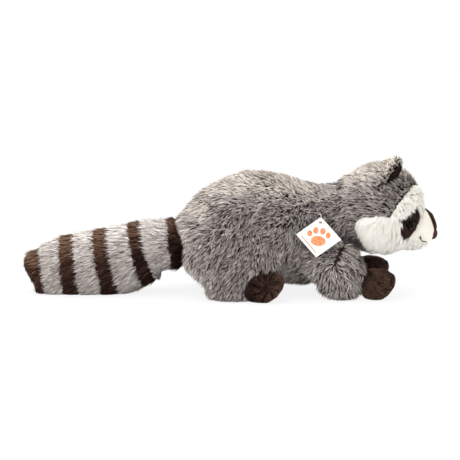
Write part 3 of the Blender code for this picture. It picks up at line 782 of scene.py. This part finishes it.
def reshaped(name, points):
    # small changes that the pile and the stitches make to the plain solid
    front, back = points[:, 0].max(), points[:, 0].min()
    middle = (points.max(axis=0) + points.min(axis=0)) / 2
    for start, (larger, moved) in resized.items():
        if name.startswith(start):
            points = middle + (points - middle) * larger + moved
    if name == "muzzle":
        behind = positive((middle[0] - points[:, 0]) / (middle[0] - back))
        points[:, 1] += behind * ((points[:, 1] - middle[1]) * muzzleForm["wider"])
        points[:, 0] -= behind * muzzleForm["deeper"]
        ahead = rising(points[:, 0], front - muzzleForm["front"], muzzleForm["front"])
        points[:, 1] -= (points[:, 1] - middle[1]) * muzzleForm["narrower"] * ahead
        points[:, 0] -= muzzleForm["shorter"] * ahead
    if "paw" in name:
        form = pawForms[name.split("_")[0]]
        toe = rising(points[:, 0], middle[0], front - middle[0]) ** foldForm["toeCurve"]
        points[:, 2] += toe * form["raised"] * (1 - points[:, 2] / points[:, 2].max())
        outer = rising(np.abs(points[:, 1]), np.abs(middle[1]), foldForm["outer"])
        points[:, 1] -= np.sign(middle[1]) * (foldOf(name, points) * outer * form["fold"])
    return points


def nearness(places, name, reach):
    # one at a solid, falling to nothing at some reach from it
    found, _, polygons = solidArrays(nodes[name])
    tree = treeOf(found, polygons)
    away = np.array([tree.find_nearest(Vector(place))[3] for place in places])
    return positive(1.15 - away / reach) ** 1.3


stripeSeam = 0.0046  # how far the muzzle is tan beside its stripe
deepFold = 0.00022  # a hollow this deep gets the darkest painted shade
velourSkins, hollowShadeOn, bareOn = {}, {}, {}
for name in sorted(velourOf):
    kind = velourOf[name]
    form = velourPieces[kind]
    points, _, faces = solidArrays(nodes[name])
    cloth = Skin(*remeshed(name + "Even", points, faces, form["voxel"]))
    cloth.points = reshaped(name, cloth.soften(cloth.points, form["smoothing"], 0.5))
    cloth.points[:, 2] = np.maximum(cloth.points[:, 2], 0.0002)
    velourSkins[name] = cloth
    piece = meshObject(name + "_cloth", cloth.points, cloth.faces, velours[kind])
    # painted shade where the cloth is drawn in, lying under its own average
    settled = cloth.soften(cloth.points, 14, 0.6)
    hollow = ((settled - cloth.points) * cloth.normals()).sum(axis=1)
    hollowShadeOn[name] = positive(hollow / deepFold).astype(np.float32)
    paint(piece, "drawn", hollowShadeOn[name])
    if kind == "cream":
        bareOn[name] = nearness(cloth.points, "muzzle_stripe", stripeSeam)
        paint(piece, "beside", bareOn[name])
    dress(piece, name)
print("velour pieces made")


# what the pile has to stay out of

keptClear = {"eye_right": 0.70, "eye_left": 0.70, "hang_tag": 1.0}  # the share of the solid kept clear
clearance = 0.0002

barePoints, bareFaces, start = [], [], 0
for name in [*sorted(velourOf), *keptClear]:
    if name in velourSkins:
        points, faces = velourSkins[name].points, velourSkins[name].faces
    else:
        points, _, faces = solidArrays(nodes[name])
        points = points.mean(axis=0) + (points - points.mean(axis=0)) * keptClear[name]
    barePoints.append(points)
    bareFaces += [[v + start for v in face] for face in faces]
    start += len(points)
keepOut = treeOf(np.concatenate(barePoints), bareFaces)


def inside(place):
    at, normal, _, distance = keepOut.find_nearest(Vector(place))
    return distance < clearance or (Vector(place) - at).dot(normal) < 0


# the strands' tone, from dark at 0 to light at 1, by place; the pairs are a start and a width

greyTones = {
    "usual": 0.54, "under": 0.10, "patches": 0.030,
    "trunkRim": 0.28, "rim": 0.35, "legShare": 0.35, "rimFrom": (0.40, 0.48),  # lighter where faces look up: partly the coat's paler top, partly painted light from above
    # rumpFrom and rumpBehind add painted light where the rump faces back; under is painted bounce light where
    # faces look down
    "rumpFrom": (0.25, 0.45), "rumpBehind": (0.010, 0.03),
    # nape and headRim take some of that painted light off the neck and the head
    "nape": 0.09, "napeAhead": (0.075, 0.02),
    "head": 0.02, "headRim": 0.07, "forehead": 0.10, "foreheadAhead": (0.165, 0.02),
    "frontLeg": 0.04, "ear": 0.24,
}
# top is lighter where faces look up, partly the tail's paler top and partly painted light from above; under
# is painted bounce light where faces look down
ringTones = {
    "darkRing": {"usual": 0.225, "tipward": 0.24, "top": 0.52, "over": 0.05, "under": 0.0, "patches": 0.03},
    "paleRing": {"usual": 0.38, "tipward": 0.0, "top": 0.44, "over": 0.0, "under": 0.30, "patches": 0.05},
}
tipwardBehind = (-0.070, 0.130)
# whiteTop is painted light on the white fur where it faces up
faceTones = {"mask": 0.68, "maskPatches": 0.08, "white": 0.64, "whiteTop": 0.06}


def patchesAt(places):
    # waves a few centimetres long, which keep the coats from looking even
    x, y, z = places.T
    broad = np.sin(x * 210 + y * 90) * np.sin(z * 190 - x * 70)
    return broad + 0.6 * np.sin(x * 430 - z * 390 + y * 300)


def greyTone(name, places, normals):
    look = greyTones
    x, above = places[:, 0], normals[:, 2]
    # painted light where faces look up and where the rump faces back, partly the coat's paler top
    rim = rising(above, *look["rimFrom"])
    if name == "body" or name.startswith("hind_leg"):
        rim = np.maximum(rim, rising(-normals[:, 0], *look["rumpFrom"]) * falling(x, *look["rumpBehind"]))
    rim = rim * rim * (3 - 2 * rim) * (look["legShare"] if "leg" in name else 1.0)
    tone = look["usual"] + look["trunkRim" if name == "body" else "rim"] * rim
    # painted bounce light where faces look down
    tone = tone + look["under"] * positive(-above) + look["patches"] * patchesAt(places)
    # less of the painted light at the nape
    if name == "body":
        tone -= look["nape"] * rim * rising(x, *look["napeAhead"])
    if name.startswith("front_leg"):
        tone += look["frontLeg"]
    # less of the painted light on the head's top
    if name == "head":
        tone += look["head"] - look["headRim"] * rim + look["forehead"] * rising(x, *look["foreheadAhead"])
    if name.startswith("ear"):
        tone += look["ear"]
    return tone


def toneOf(name, places, normals):
    coat, above = coatOf[name], normals[:, 2]
    if coat in ("grey", "ear"):
        return greyTone(name, places, normals)
    if coat in ringTones:
        look = ringTones[coat]
        tone = look["usual"] + look["tipward"] * falling(places[:, 0], *tipwardBehind)
        # painted light where faces look up, on the rings' paler tops, and painted bounce light underneath
        tone = tone + look["top"] * positive(above + look["over"]) ** 1.3
        return tone + look["under"] * positive(-above) + look["patches"] * patchesAt(places)
    if coat == "mask":
        return faceTones["mask"] + faceTones["maskPatches"] * patchesAt(places)
    # the white fur is lighter by painted light where it faces up
    return faceTones["white"] + faceTones["whiteTop"] * np.clip(above, -1, 1)


# pile

tuftLook = {
    "swirl": 0.30,  # radians that the grey coat's slow waves turn it aside
    "leanSpread": 6, "lengths": (0.82, 1.12),
    "clippedAtSeams": {"grey": 0.35, "white": 0.10},  # share of the length; what isn't white is as the grey
    "clippedAtTip": 0.30, "clippedUnderRoot": 0.50,
    "heldOff": 0.7,  # the share of a tuft's reach that is kept out of the bare pieces
    "toneSpread": 0.09, "strandSpread": 0.12,
    "stretch": (0.78, 1.10), "lift": (0.40, 0.58), "rootDepth": 0.0006, "floor": 0.0004,
}
# dark guard hairs among the tipped strands: fewer where the coat is paler than a tone
guardHairs = {
    "grey": {"share": 0.38, "noneAt": 0.92, "width": 0.36, "least": 0.08, "tones": (0.02, 0.20)},
    "paleRing": {"share": 0.30, "noneAt": 0.95, "width": 0.4, "least": 0.25, "tones": (0.02, 0.16)},
}


def standing(flow, normals, swirl, coat, spread, rng):
    # the brushed way turned aside, the direction that each strand or tuft stands in, and its length
    count = len(flow)
    turn = np.radians(rng.normal(0, coat["wander"], count))[:, None] + swirl
    flow = flow * np.cos(turn) + np.cross(normals, flow) * np.sin(turn)
    lean = np.radians(coat["lean"] + rng.normal(0, spread["leanSpread"], count))[:, None]
    length = coat["length"] * rng.uniform(*spread["lengths"], (count, 1))
    return flow, normals * np.cos(lean) + flow * np.sin(lean), length


def tuftsOn(name, coat, rng):
    # each tuft's root, normal, brushed way, reach and length, where it is clear of the bare pieces
    own = faceOwner[triangleFace] == numberOf[name]
    round3, weights = skin.strewn(skin.triangles[own], coat["spacing"], rng)
    places = weighted(skin.points, round3, weights)
    normals = unit(weighted(skinNormals, round3, weights))
    seamed = positive(seam[round3].mean(axis=1) * 2)
    swirl = np.sin(places[:, :1] * 95 + 1.3) * np.cos(places[:, 2:] * 80 + 0.4)
    swirl = swirl * (tuftLook["swirl"] if coatOf[name] == "grey" else 0.0)
    flow, way, length = standing(laid(name, places, normals), normals, swirl, coat, tuftLook, rng)
    clipped = tuftLook["clippedAtSeams"]["white" if coat["pile"] == "white" else "grey"]
    length = length * (1 - clipped * seamed)[:, None]
    reach = way * length
    if name == "tail_tip":
        reach *= 1 - tuftLook["clippedAtTip"] * positive(-normals[:, :1] * 2 - 0.8)
    if name == "tail_ring_2":
        reach *= 1 - tuftLook["clippedUnderRoot"] * positive(-normals[:, 2:] * 2)
    free = np.array([not inside(p + r * tuftLook["heldOff"]) for p, r in zip(places, reach)])
    return [values[free] for values in (places, normals, flow, reach, length)]


def strandTones(coat, tone, rng):
    count = len(tone)
    shade = tone + rng.normal(0, tuftLook["strandSpread"], count)
    if "uneven" in coat:
        shade += rng.normal(0, coat["uneven"], count)
    if coat["pile"] in guardHairs:
        hairs = guardHairs[coat["pile"]]
        fewer = np.clip((hairs["noneAt"] - tone) / hairs["width"], hairs["least"], 1)
        guard = rng.random(count) < hairs["share"] * fewer
        shade = np.where(guard, rng.uniform(*hairs["tones"], count), shade)
    return shade


def growPile(name, rng):
    coat = coats[coatOf[name]]
    places, normals, flow, reach, length = tuftsOn(name, coat, rng)
    tone = toneOf(name, places, normals) + rng.normal(0, tuftLook["toneSpread"], len(places))

    # strands start round the tuft's root and draw together at its tip
    tuft = np.repeat(np.arange(len(places)), coat["strands"])
    count = len(tuft)
    around = rng.random(count) * math.tau
    away = np.sqrt(rng.random(count)) * coat["spread"]
    forward, aside = (np.cos(around) * away)[:, None], (np.sin(around) * away)[:, None]
    offset = flow[tuft] * forward + np.cross(normals, flow)[tuft] * aside
    roots = places[tuft] + offset
    tips = roots + reach[tuft] * rng.uniform(*tuftLook["stretch"], (count, 1)) - offset * coat["gather"]
    lift = normals[tuft] * length[tuft] * rng.uniform(*tuftLook["lift"], (count, 1))
    middles = roots * 0.30 + (roots + lift) * 0.45 + tips * 0.25
    roots = roots - normals[tuft] * tuftLook["rootDepth"]
    shade = strandTones(coat, tone[tuft], rng)
    lines = overFloor(roots, middles, tips, tuftLook["floor"])
    return strandMesh(name + "_pile", lines, normals[tuft], coat, shade, rng)


def overFloor(roots, middles, tips, floor):
    for line in (middles, tips):
        line[:, 2] = np.maximum(line[:, 2], floor)
    return roots, middles, tips


napLooks = {
    "paw": {
        "pile": "pawNap", "length": 0.0017, "lean": 40, "wander": 28,
        "spacing": 0.00053, "halfWidth": 0.00018,
    },
    "cream": {
        "pile": "creamNap", "length": 0.0009, "lean": 60, "wander": 28,
        "spacing": 0.00055, "halfWidth": 0.00016,
    },
}
hairLook = {
    "brushed": (0.55, 0.0, -0.75), "swirl": 0.5, "leanSpread": 10, "lengths": (0.7, 1.15),
    "arch": 0.12, "rootDepth": 0.0002, "floor": 0.0003, "bareFrom": 0.16,
    # top is painted light where the cloth faces up, and hollow is painted shade in its hollows
    "tone": 0.93, "patches": 0.16, "top": 0.16, "hollow": 0.60, "toneSpread": 0.32,
    "fold": 0.40, "hindShade": 0.64, "hindAhead": 0.80,  # fold is painted shade in the folds' grooves; hind paws get painted shade at their back by the haunch, turning lighter at the toes
}


def growNap(name, rng):
    # short single hairs over a velour piece, brushed forward and down
    look, cloth = napLooks[velourOf[name]], velourSkins[name]
    round3, weights = cloth.strewn(cloth.triangles, look["spacing"], rng)
    if name in bareOn:
        grown = bareOn[name][round3].mean(axis=1) < hairLook["bareFrom"]
        round3, weights = round3[grown], [weight[grown] for weight in weights]
    roots = weighted(cloth.points, round3, weights)
    normals = unit(weighted(cloth.normals(), round3, weights))
    hollow = hollowShadeOn[name][round3].mean(axis=1)
    count = len(roots)
    flow = alongSurface(np.tile(hairLook["brushed"], (count, 1)), normals)
    swirl = hairLook["swirl"] * np.sin(roots[:, :1] * 260 + roots[:, 2:] * 310)
    _, way, length = standing(flow, normals, swirl, look, hairLook, rng)
    tips = roots + way * length
    middles = roots * 0.5 + tips * 0.5 + normals * length * hairLook["arch"]
    roots = roots - normals * hairLook["rootDepth"]
    lines = overFloor(roots, middles, tips, hairLook["floor"])

    x, y, z = roots.T
    patches = np.sin(x * 330 + z * 180) * np.sin(z * 290 - x * 160 + y * 200)
    patches = patches + 0.5 * np.sin(x * 900 + z * 700)
    # painted light where the cloth faces up and painted shade in its hollows, over uneven patches
    shade = hairLook["tone"] + hairLook["patches"] * patches + hairLook["top"] * normals[:, 2]
    shade = shade - hairLook["hollow"] * hollow + rng.normal(0, hairLook["toneSpread"], count)
    # painted shade in the folds' grooves, and on the hind paws by the haunch, lighter towards the toes
    if "paw" in name:
        shade -= hairLook["fold"] * positive(foldOf(name, roots))
    if name.startswith("hind"):
        ahead = positive((x - x.min()) / (x.max() - x.min()) * 1.2)
        shade += hairLook["hindAhead"] * ahead - hairLook["hindShade"]
    strandMesh(name + "_nap", lines, normals, look, shade, rng)


# how much of a strand's own normal shows, over that of the cloth under it
ownNormal = {"white": 0.12, "others": 0.30}


def strandMesh(title, lines, normals, coat, shade, rng):
    # each strand is a narrow leaf of two faces, bent at its middle
    roots, middles, tips = lines
    count = len(roots)
    along = unit(tips - roots)
    side = unit(np.cross(along, normals))
    turn = rng.uniform(-0.7, 0.7, (count, 1))
    side = side * np.cos(turn) + np.cross(side, along) * np.sin(turn)
    half = side * (coat["halfWidth"] * rng.uniform(0.75, 1.25, (count, 1)))
    points = np.stack([roots, middles + half, middles - half, tips], axis=1).reshape(-1, 3)
    loops = (np.arange(count)[:, None] * 4 + np.array((0, 1, 2, 2, 1, 3))).reshape(-1)
    mesh = bpy.data.meshes.new(title)
    mesh.vertices.add(count * 4)
    mesh.vertices.foreach_set("co", points.astype(np.float32).reshape(-1))
    mesh.loops.add(count * 6)
    mesh.loops.foreach_set("vertex_index", loops.astype(np.int32))
    mesh.polygons.add(count * 2)
    mesh.polygons.foreach_set("loop_start", np.arange(0, count * 6, 3, dtype=np.int32))
    mesh.update(calc_edges=True)

    # the map holds the strand's tone across, hardly changing, and its root to tip along
    tone = np.clip(shade, 0.02, 0.98)[:, None]
    mapAcross = tone + np.array((0.0, 0.006, -0.006, -0.006, 0.006, 0.0))
    mapAlong = np.tile((0.01, 0.5, 0.5, 0.5, 0.5, 0.99), (count, 1))
    mapped = mesh.uv_layers.new(name="OFBake")
    mapped.data.foreach_set("uv", np.stack([mapAcross, mapAlong], axis=2).astype(np.float32).reshape(-1))
    own = unit(np.cross(side, along))
    own = own * np.sign((own * normals).sum(axis=1, keepdims=True))
    share = ownNormal["white" if coat["pile"] == "white" else "others"]
    soft = unit(normals * (1 - share) + own * share)
    mesh.shade_smooth()
    mesh.normals_split_custom_set_from_vertices(np.repeat(soft, 4, axis=0).astype(np.float32))
    mesh.materials.append(furMaterials[coat["pile"]])
    made = bpy.data.objects.new(title, mesh)
    bpy.context.scene.collection.objects.link(made)
    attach(made, "root")
    return made


napSeed, pileSeed = 40, 700
triangleFace = np.array([i for i, face in enumerate(skin.faces) for _ in range(len(face) - 2)])
for index, name in enumerate(sorted(velourOf)):
    if velourOf[name] in napLooks:
        growNap(name, np.random.default_rng(napSeed + index))
pileFaces = 0
for name in sorted(coatOf):
    grown = growPile(name, np.random.default_rng(pileSeed + numberOf[name]))
    pileFaces += len(grown.data.polygons)
    print("pile on", name, len(grown.data.polygons))
print("pile faces in all", pileFaces)


# eyes

for side in bothSides:
    nodes["eye" + side].data.materials.clear()
    nodes["eye" + side].data.materials.append(eyeMaterial(eyeLook))


# the tag, printed with a paw and a line

tagLook = {
    "ink": (0.54, 0.115, 0.022),
    "inkPale": (0.66, 0.29, 0.12),
    "paper": (0.72, 0.715, 0.70),
    "paperPale": (0.80, 0.795, 0.78),
    # (across, up, half width, half height) in shares of the card's side
    "blots": [
        (0.0, -0.14, 0.235, 0.180),
        (-0.290, 0.090, 0.082, 0.112),
        (-0.110, 0.215, 0.086, 0.122),
        (0.110, 0.215, 0.086, 0.122),
        (0.290, 0.090, 0.082, 0.112),
    ],
    "line": {"place": -0.405, "halfThick": 0.018, "halfLong": 0.38},
}
cardPoints = solidArrays(nodes["hang_tag"])[0]
cardLeft, cardRight = cardPoints[cardPoints[:, 0].argmin()], cardPoints[cardPoints[:, 0].argmax()]
cardTop, cardLow = cardPoints[cardPoints[:, 2].argmax()], cardPoints[cardPoints[:, 2].argmin()]
cardMiddle = (cardLeft + cardRight + cardTop + cardLow) / 4
cardSide = float(np.linalg.norm(cardRight - cardLow))


def alongCard(graph, direction):
    # place on the card along one direction, in shares of its side
    fromMiddle = {0: graph.place(), 1: tuple(cardMiddle)}
    moved = graph.node("ShaderNodeVectorMath", {"operation": "SUBTRACT"}, fromMiddle)
    scaled = tuple(unit(direction) / cardSide)
    return graph.node("ShaderNodeVectorMath", {"operation": "DOT_PRODUCT"}, {0: moved, 1: scaled}, "Value")


card = Graph("tagCard")
fibres = card.noise(900.0, 4.0)
across, upright = alongCard(card, cardRight - cardLeft), alongCard(card, cardTop - cardLow)
printed = 0.0
for blotX, blotY, wide, high in tagLook["blots"]:
    fromBlot = ((across - blotX) / wide) ** 2 + ((upright - blotY) / high) ** 2
    printed = card.smoothRange(fromBlot, 1.12, 0.88) + printed
beyond, edgewise = alongCard(card, cardTop - cardLeft), alongCard(card, cardLow - cardLeft)
fromLine = ((beyond - tagLook["line"]["place"]) / tagLook["line"]["halfThick"]) ** 2
fromCentre = (edgewise / tagLook["line"]["halfLong"]) ** 2
printed = printed + card.smoothRange(fromLine, 1.3, 0.7) * card.smoothRange(fromCentre, 1.02, 0.98)
ink = card.mix(card.smoothRange(fibres, 0.35, 0.65), tagLook["ink"], tagLook["inkPale"])
paper = card.mix(fibres, tagLook["paper"], tagLook["paperPale"])
cardColour = card.mix(printed.clamped(), paper, ink)
cardMaterial = card.finish(Base_Color=cardColour, Roughness=0.5, Normal=card.bump(fibres, 0.15, 0.0002))
nodes["hang_tag"].data.materials.clear()
nodes["hang_tag"].data.materials.append(cardMaterial)


# the tag's loop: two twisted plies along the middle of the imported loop

loopLook = {
    "ply": 0.00024, "offset": 0.00021, "turns": 16, "steps": 150, "sides": 8,
    "dark": (0.62, 0.55, 0.36), "light": (0.88, 0.82, 0.62), "bands": 1400.0,
}


def stepsFrom(start, beside):
    # how many edges away every point is
    found, edge, level = {start: 0}, [start], 0
    while edge:
        level += 1
        edge = sorted({v for u in edge for v in beside[u]} - set(found))
        found.update((v, level) for v in edge)
    return found


def middleLine(name):
    # the middles of a bent tube's rings, from one end to the other
    points, _, faces = solidArrays(nodes[name])
    beside = {i: set() for i in range(len(points))}
    for face in faces:
        for i, v in enumerate(face):
            beside[v].add(face[i - 1])
            beside[face[i - 1]].add(v)
    far = stepsFrom(0, beside)
    steps = stepsFrom(max(far, key=far.get), beside)
    rings = [[v for v in steps if steps[v] == level] for level in range(max(steps.values()) + 1)]
    return np.array([points[ring].mean(axis=0) for ring in rings])


def twistedThread(name, line, look, material):
    # plies wound round a line, as closed tubes
    length = np.concatenate([[0], np.cumsum(np.linalg.norm(np.diff(line, axis=0), axis=1))])
    at = np.linspace(0, length[-1], look["steps"])
    middle = np.stack([np.interp(at, length, line[:, k]) for k in range(3)], axis=1)
    for _ in range(12):
        middle[1:-1] = middle[1:-1] * 0.5 + (middle[:-2] + middle[2:]) * 0.25
    ahead = unit(np.gradient(middle, axis=0))
    aside = unit(np.cross(ahead, (0.3, 1.0, 0.2)))
    over = np.cross(ahead, aside)
    points, faces = [], []
    sides = look["sides"]
    angles = np.arange(sides) * math.tau / sides
    for ply in range(2):
        wound = (at / length[-1] * look["turns"] + ply / 2) * math.tau
        path = middle + (aside * np.cos(wound)[:, None] + over * np.sin(wound)[:, None]) * look["offset"]
        start = len(points)
        for place, one, two in zip(path, aside, over):
            ring = np.outer(np.cos(angles), one) + np.outer(np.sin(angles), two)
            points += list(place + ring * look["ply"])
        for step in range(look["steps"] - 1):
            low, high = start + step * sides, start + (step + 1) * sides
            for i in range(sides):
                beside = (i + 1) % sides
                faces.append((low + i, low + beside, high + beside, high + i))
        faces.append(tuple(range(start + sides - 1, start - 1, -1)))
        faces.append(tuple(range(len(points) - sides, len(points))))
    return meshObject(name, points, faces, material)


loopMaterial = threadMaterial("loopThread", loopLook["dark"], loopLook["light"], loopLook["bands"])
thread = twistedThread("tag_loop_thread", middleLine("tag_loop"), loopLook, loopMaterial)
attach(thread, "root")
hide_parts("tag_loop")
print("tag hung")


# mouth: a short stitched line and a tick at each side, laid on the muzzle

mouthLook = {
    "thread": 0.00045, "proud": 0.0004,
    "dark": (0.020, 0.008, 0.005), "light": (0.085, 0.040, 0.026), "bands": 2600.0,
}
# (forward, up) as seen from the side
mouthRoutes = {
    "line": [(0.1868, 0.0592), (0.1884, 0.0570), (0.1903, 0.0552), (0.1926, 0.0538), (0.1950, 0.0534)],
    "tick": [(0.1878, 0.0606), (0.1885, 0.0590), (0.1889, 0.0572)],
}
muzzleTree = treeOf(velourSkins["muzzle"].points, velourSkins["muzzle"].faces)
headTilt = Matrix.Rotation(tilt, 3, "X")
headMiddle = Vector((0.0, 0.0, faceLook["tiltHeight"]))


def mirroredHead(point):
    # the same place on the other side of the tilted head
    upright = headTilt @ (point - headMiddle)
    return headTilt.inverted() @ Vector((upright.x, -upright.y, upright.z)) + headMiddle


def onMuzzle(x, z):
    # the place on the muzzle's right side, as thread lies on it
    at, normal, _, _ = muzzleTree.ray_cast(Vector((x, -0.08, z)), Vector((0, 1, 0)))
    return at + normal * mouthLook["proud"] if at else Vector((x, -0.010, z))


stitchMaterial = threadMaterial("stitchThread", mouthLook["dark"], mouthLook["light"], mouthLook["bands"])
for title, route in mouthRoutes.items():
    for side in bothSides:
        curve = bpy.data.curves.new("mouth_" + title + side, "CURVE")
        curve.dimensions = "3D"
        curve.bevel_depth = mouthLook["thread"]
        curve.bevel_resolution = 3
        curve.use_fill_caps = True
        curve.materials.append(stitchMaterial)
        spline = curve.splines.new("BEZIER")
        spline.bezier_points.add(len(route) - 1)
        for knot, (x, z) in zip(spline.bezier_points, route):
            at = onMuzzle(x, z)
            knot.co = mirroredHead(at) if side == "_left" else at
            knot.handle_left_type = knot.handle_right_type = "AUTO"
        stitch = bpy.data.objects.new(curve.name, curve)
        bpy.context.scene.collection.objects.link(stitch)
        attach(stitch, "root")
print("mouth stitched")


# floor and sky

# lift is the share of plain white that the camera sees in the floor, over its own shade
stageLook = {"floorSize": 30.0, "floorTone": 0.86, "lift": 0.86, "sky": 1.12}
plainWhite = {"Color": (1, 1, 1), "Strength": 1.0}


def seenPlainly(graph):
    # one for what the camera sees, straight, in a gloss or through something clear
    seen = 0.0
    for ray in ("Is Camera Ray", "Is Glossy Ray", "Is Transmission Ray"):
        seen = seen + graph.node("ShaderNodeLightPath", {}, {}, ray)
    return seen.clamped()


floor = Graph("paleFloor")
floor.fix(Base_Color=(*[stageLook["floorTone"]] * 3, 1), Roughness=0.9, Specular_IOR_Level=0.1)
own = Wire(floor, floor.shader.outputs[0])
white = floor.node("ShaderNodeEmission", {}, plainWhite)
lifted = floor.node("ShaderNodeMixShader", {}, {0: stageLook["lift"], 1: own, 2: white})
shownFloor = floor.node("ShaderNodeMixShader", {}, {0: seenPlainly(floor), 1: own, 2: lifted})
floor.feed(floor.output.inputs[0], shownFloor)
half = stageLook["floorSize"] / 2
floorCorners = [(-half, -half, 0), (half, -half, 0), (half, half, 0), (-half, half, 0)]
ground = meshObject("floor", floorCorners, [(0, 1, 2, 3)], floor.material)

sky = Graph("studio", bpy.data.worlds.new("studio"))
bpy.context.scene.world = sky.material
sky.fix(Color=(1, 1, 1, 1), Strength=stageLook["sky"])
own = Wire(sky, sky.shader.outputs[0])
white = sky.node("ShaderNodeBackground", {}, plainWhite)
shownSky = sky.node("ShaderNodeMixShader", {}, {0: seenPlainly(sky), 1: own, 2: white})
sky.feed(sky.output.inputs[0], shownSky)


# lamps and camera

lampsAim = (0, 0, 0.06)
lampLooks = {
    "key": {"place": (-0.55, -0.75, 1.45), "size": 1.1, "power": 15.0},
    "top": {"place": (0.15, 0.45, 1.35), "size": 0.9, "power": 9.0},
}
for title, look in lampLooks.items():
    lamp = bpy.data.lights.new(title, "AREA")
    lamp.size = look["size"]
    lamp.energy = look["power"]
    holder = bpy.data.objects.new(title, lamp)
    holder.location = look["place"]
    ray = Vector(lampsAim) - Vector(look["place"])
    holder.rotation_euler = ray.to_track_quat("-Z", "Y").to_euler()
    bpy.context.scene.collection.objects.link(holder)

# view is the width that the picture shows, in metres
cameraLook = {"elevation": 9.2, "distance": 1.8, "aim": (-0.0002, 0.0, 0.0628), "view": 0.460, "sensor": 36.0}
lens = bpy.data.cameras.new("camera")
lens.sensor_width = cameraLook["sensor"]
lens.lens = lens.sensor_width * cameraLook["distance"] / cameraLook["view"]
lens.clip_end = 60.0
camera = bpy.data.objects.new("camera", lens)
bpy.context.scene.collection.objects.link(camera)
elevation = math.radians(cameraLook["elevation"])
back = Vector((0, -math.cos(elevation), math.sin(elevation)))
camera.location = Vector(cameraLook["aim"]) + back * cameraLook["distance"]
camera.rotation_euler = (math.radians(90) - elevation, 0, 0)
bpy.context.scene.camera = camera
bpy.context.scene.view_settings.view_transform = "Standard"
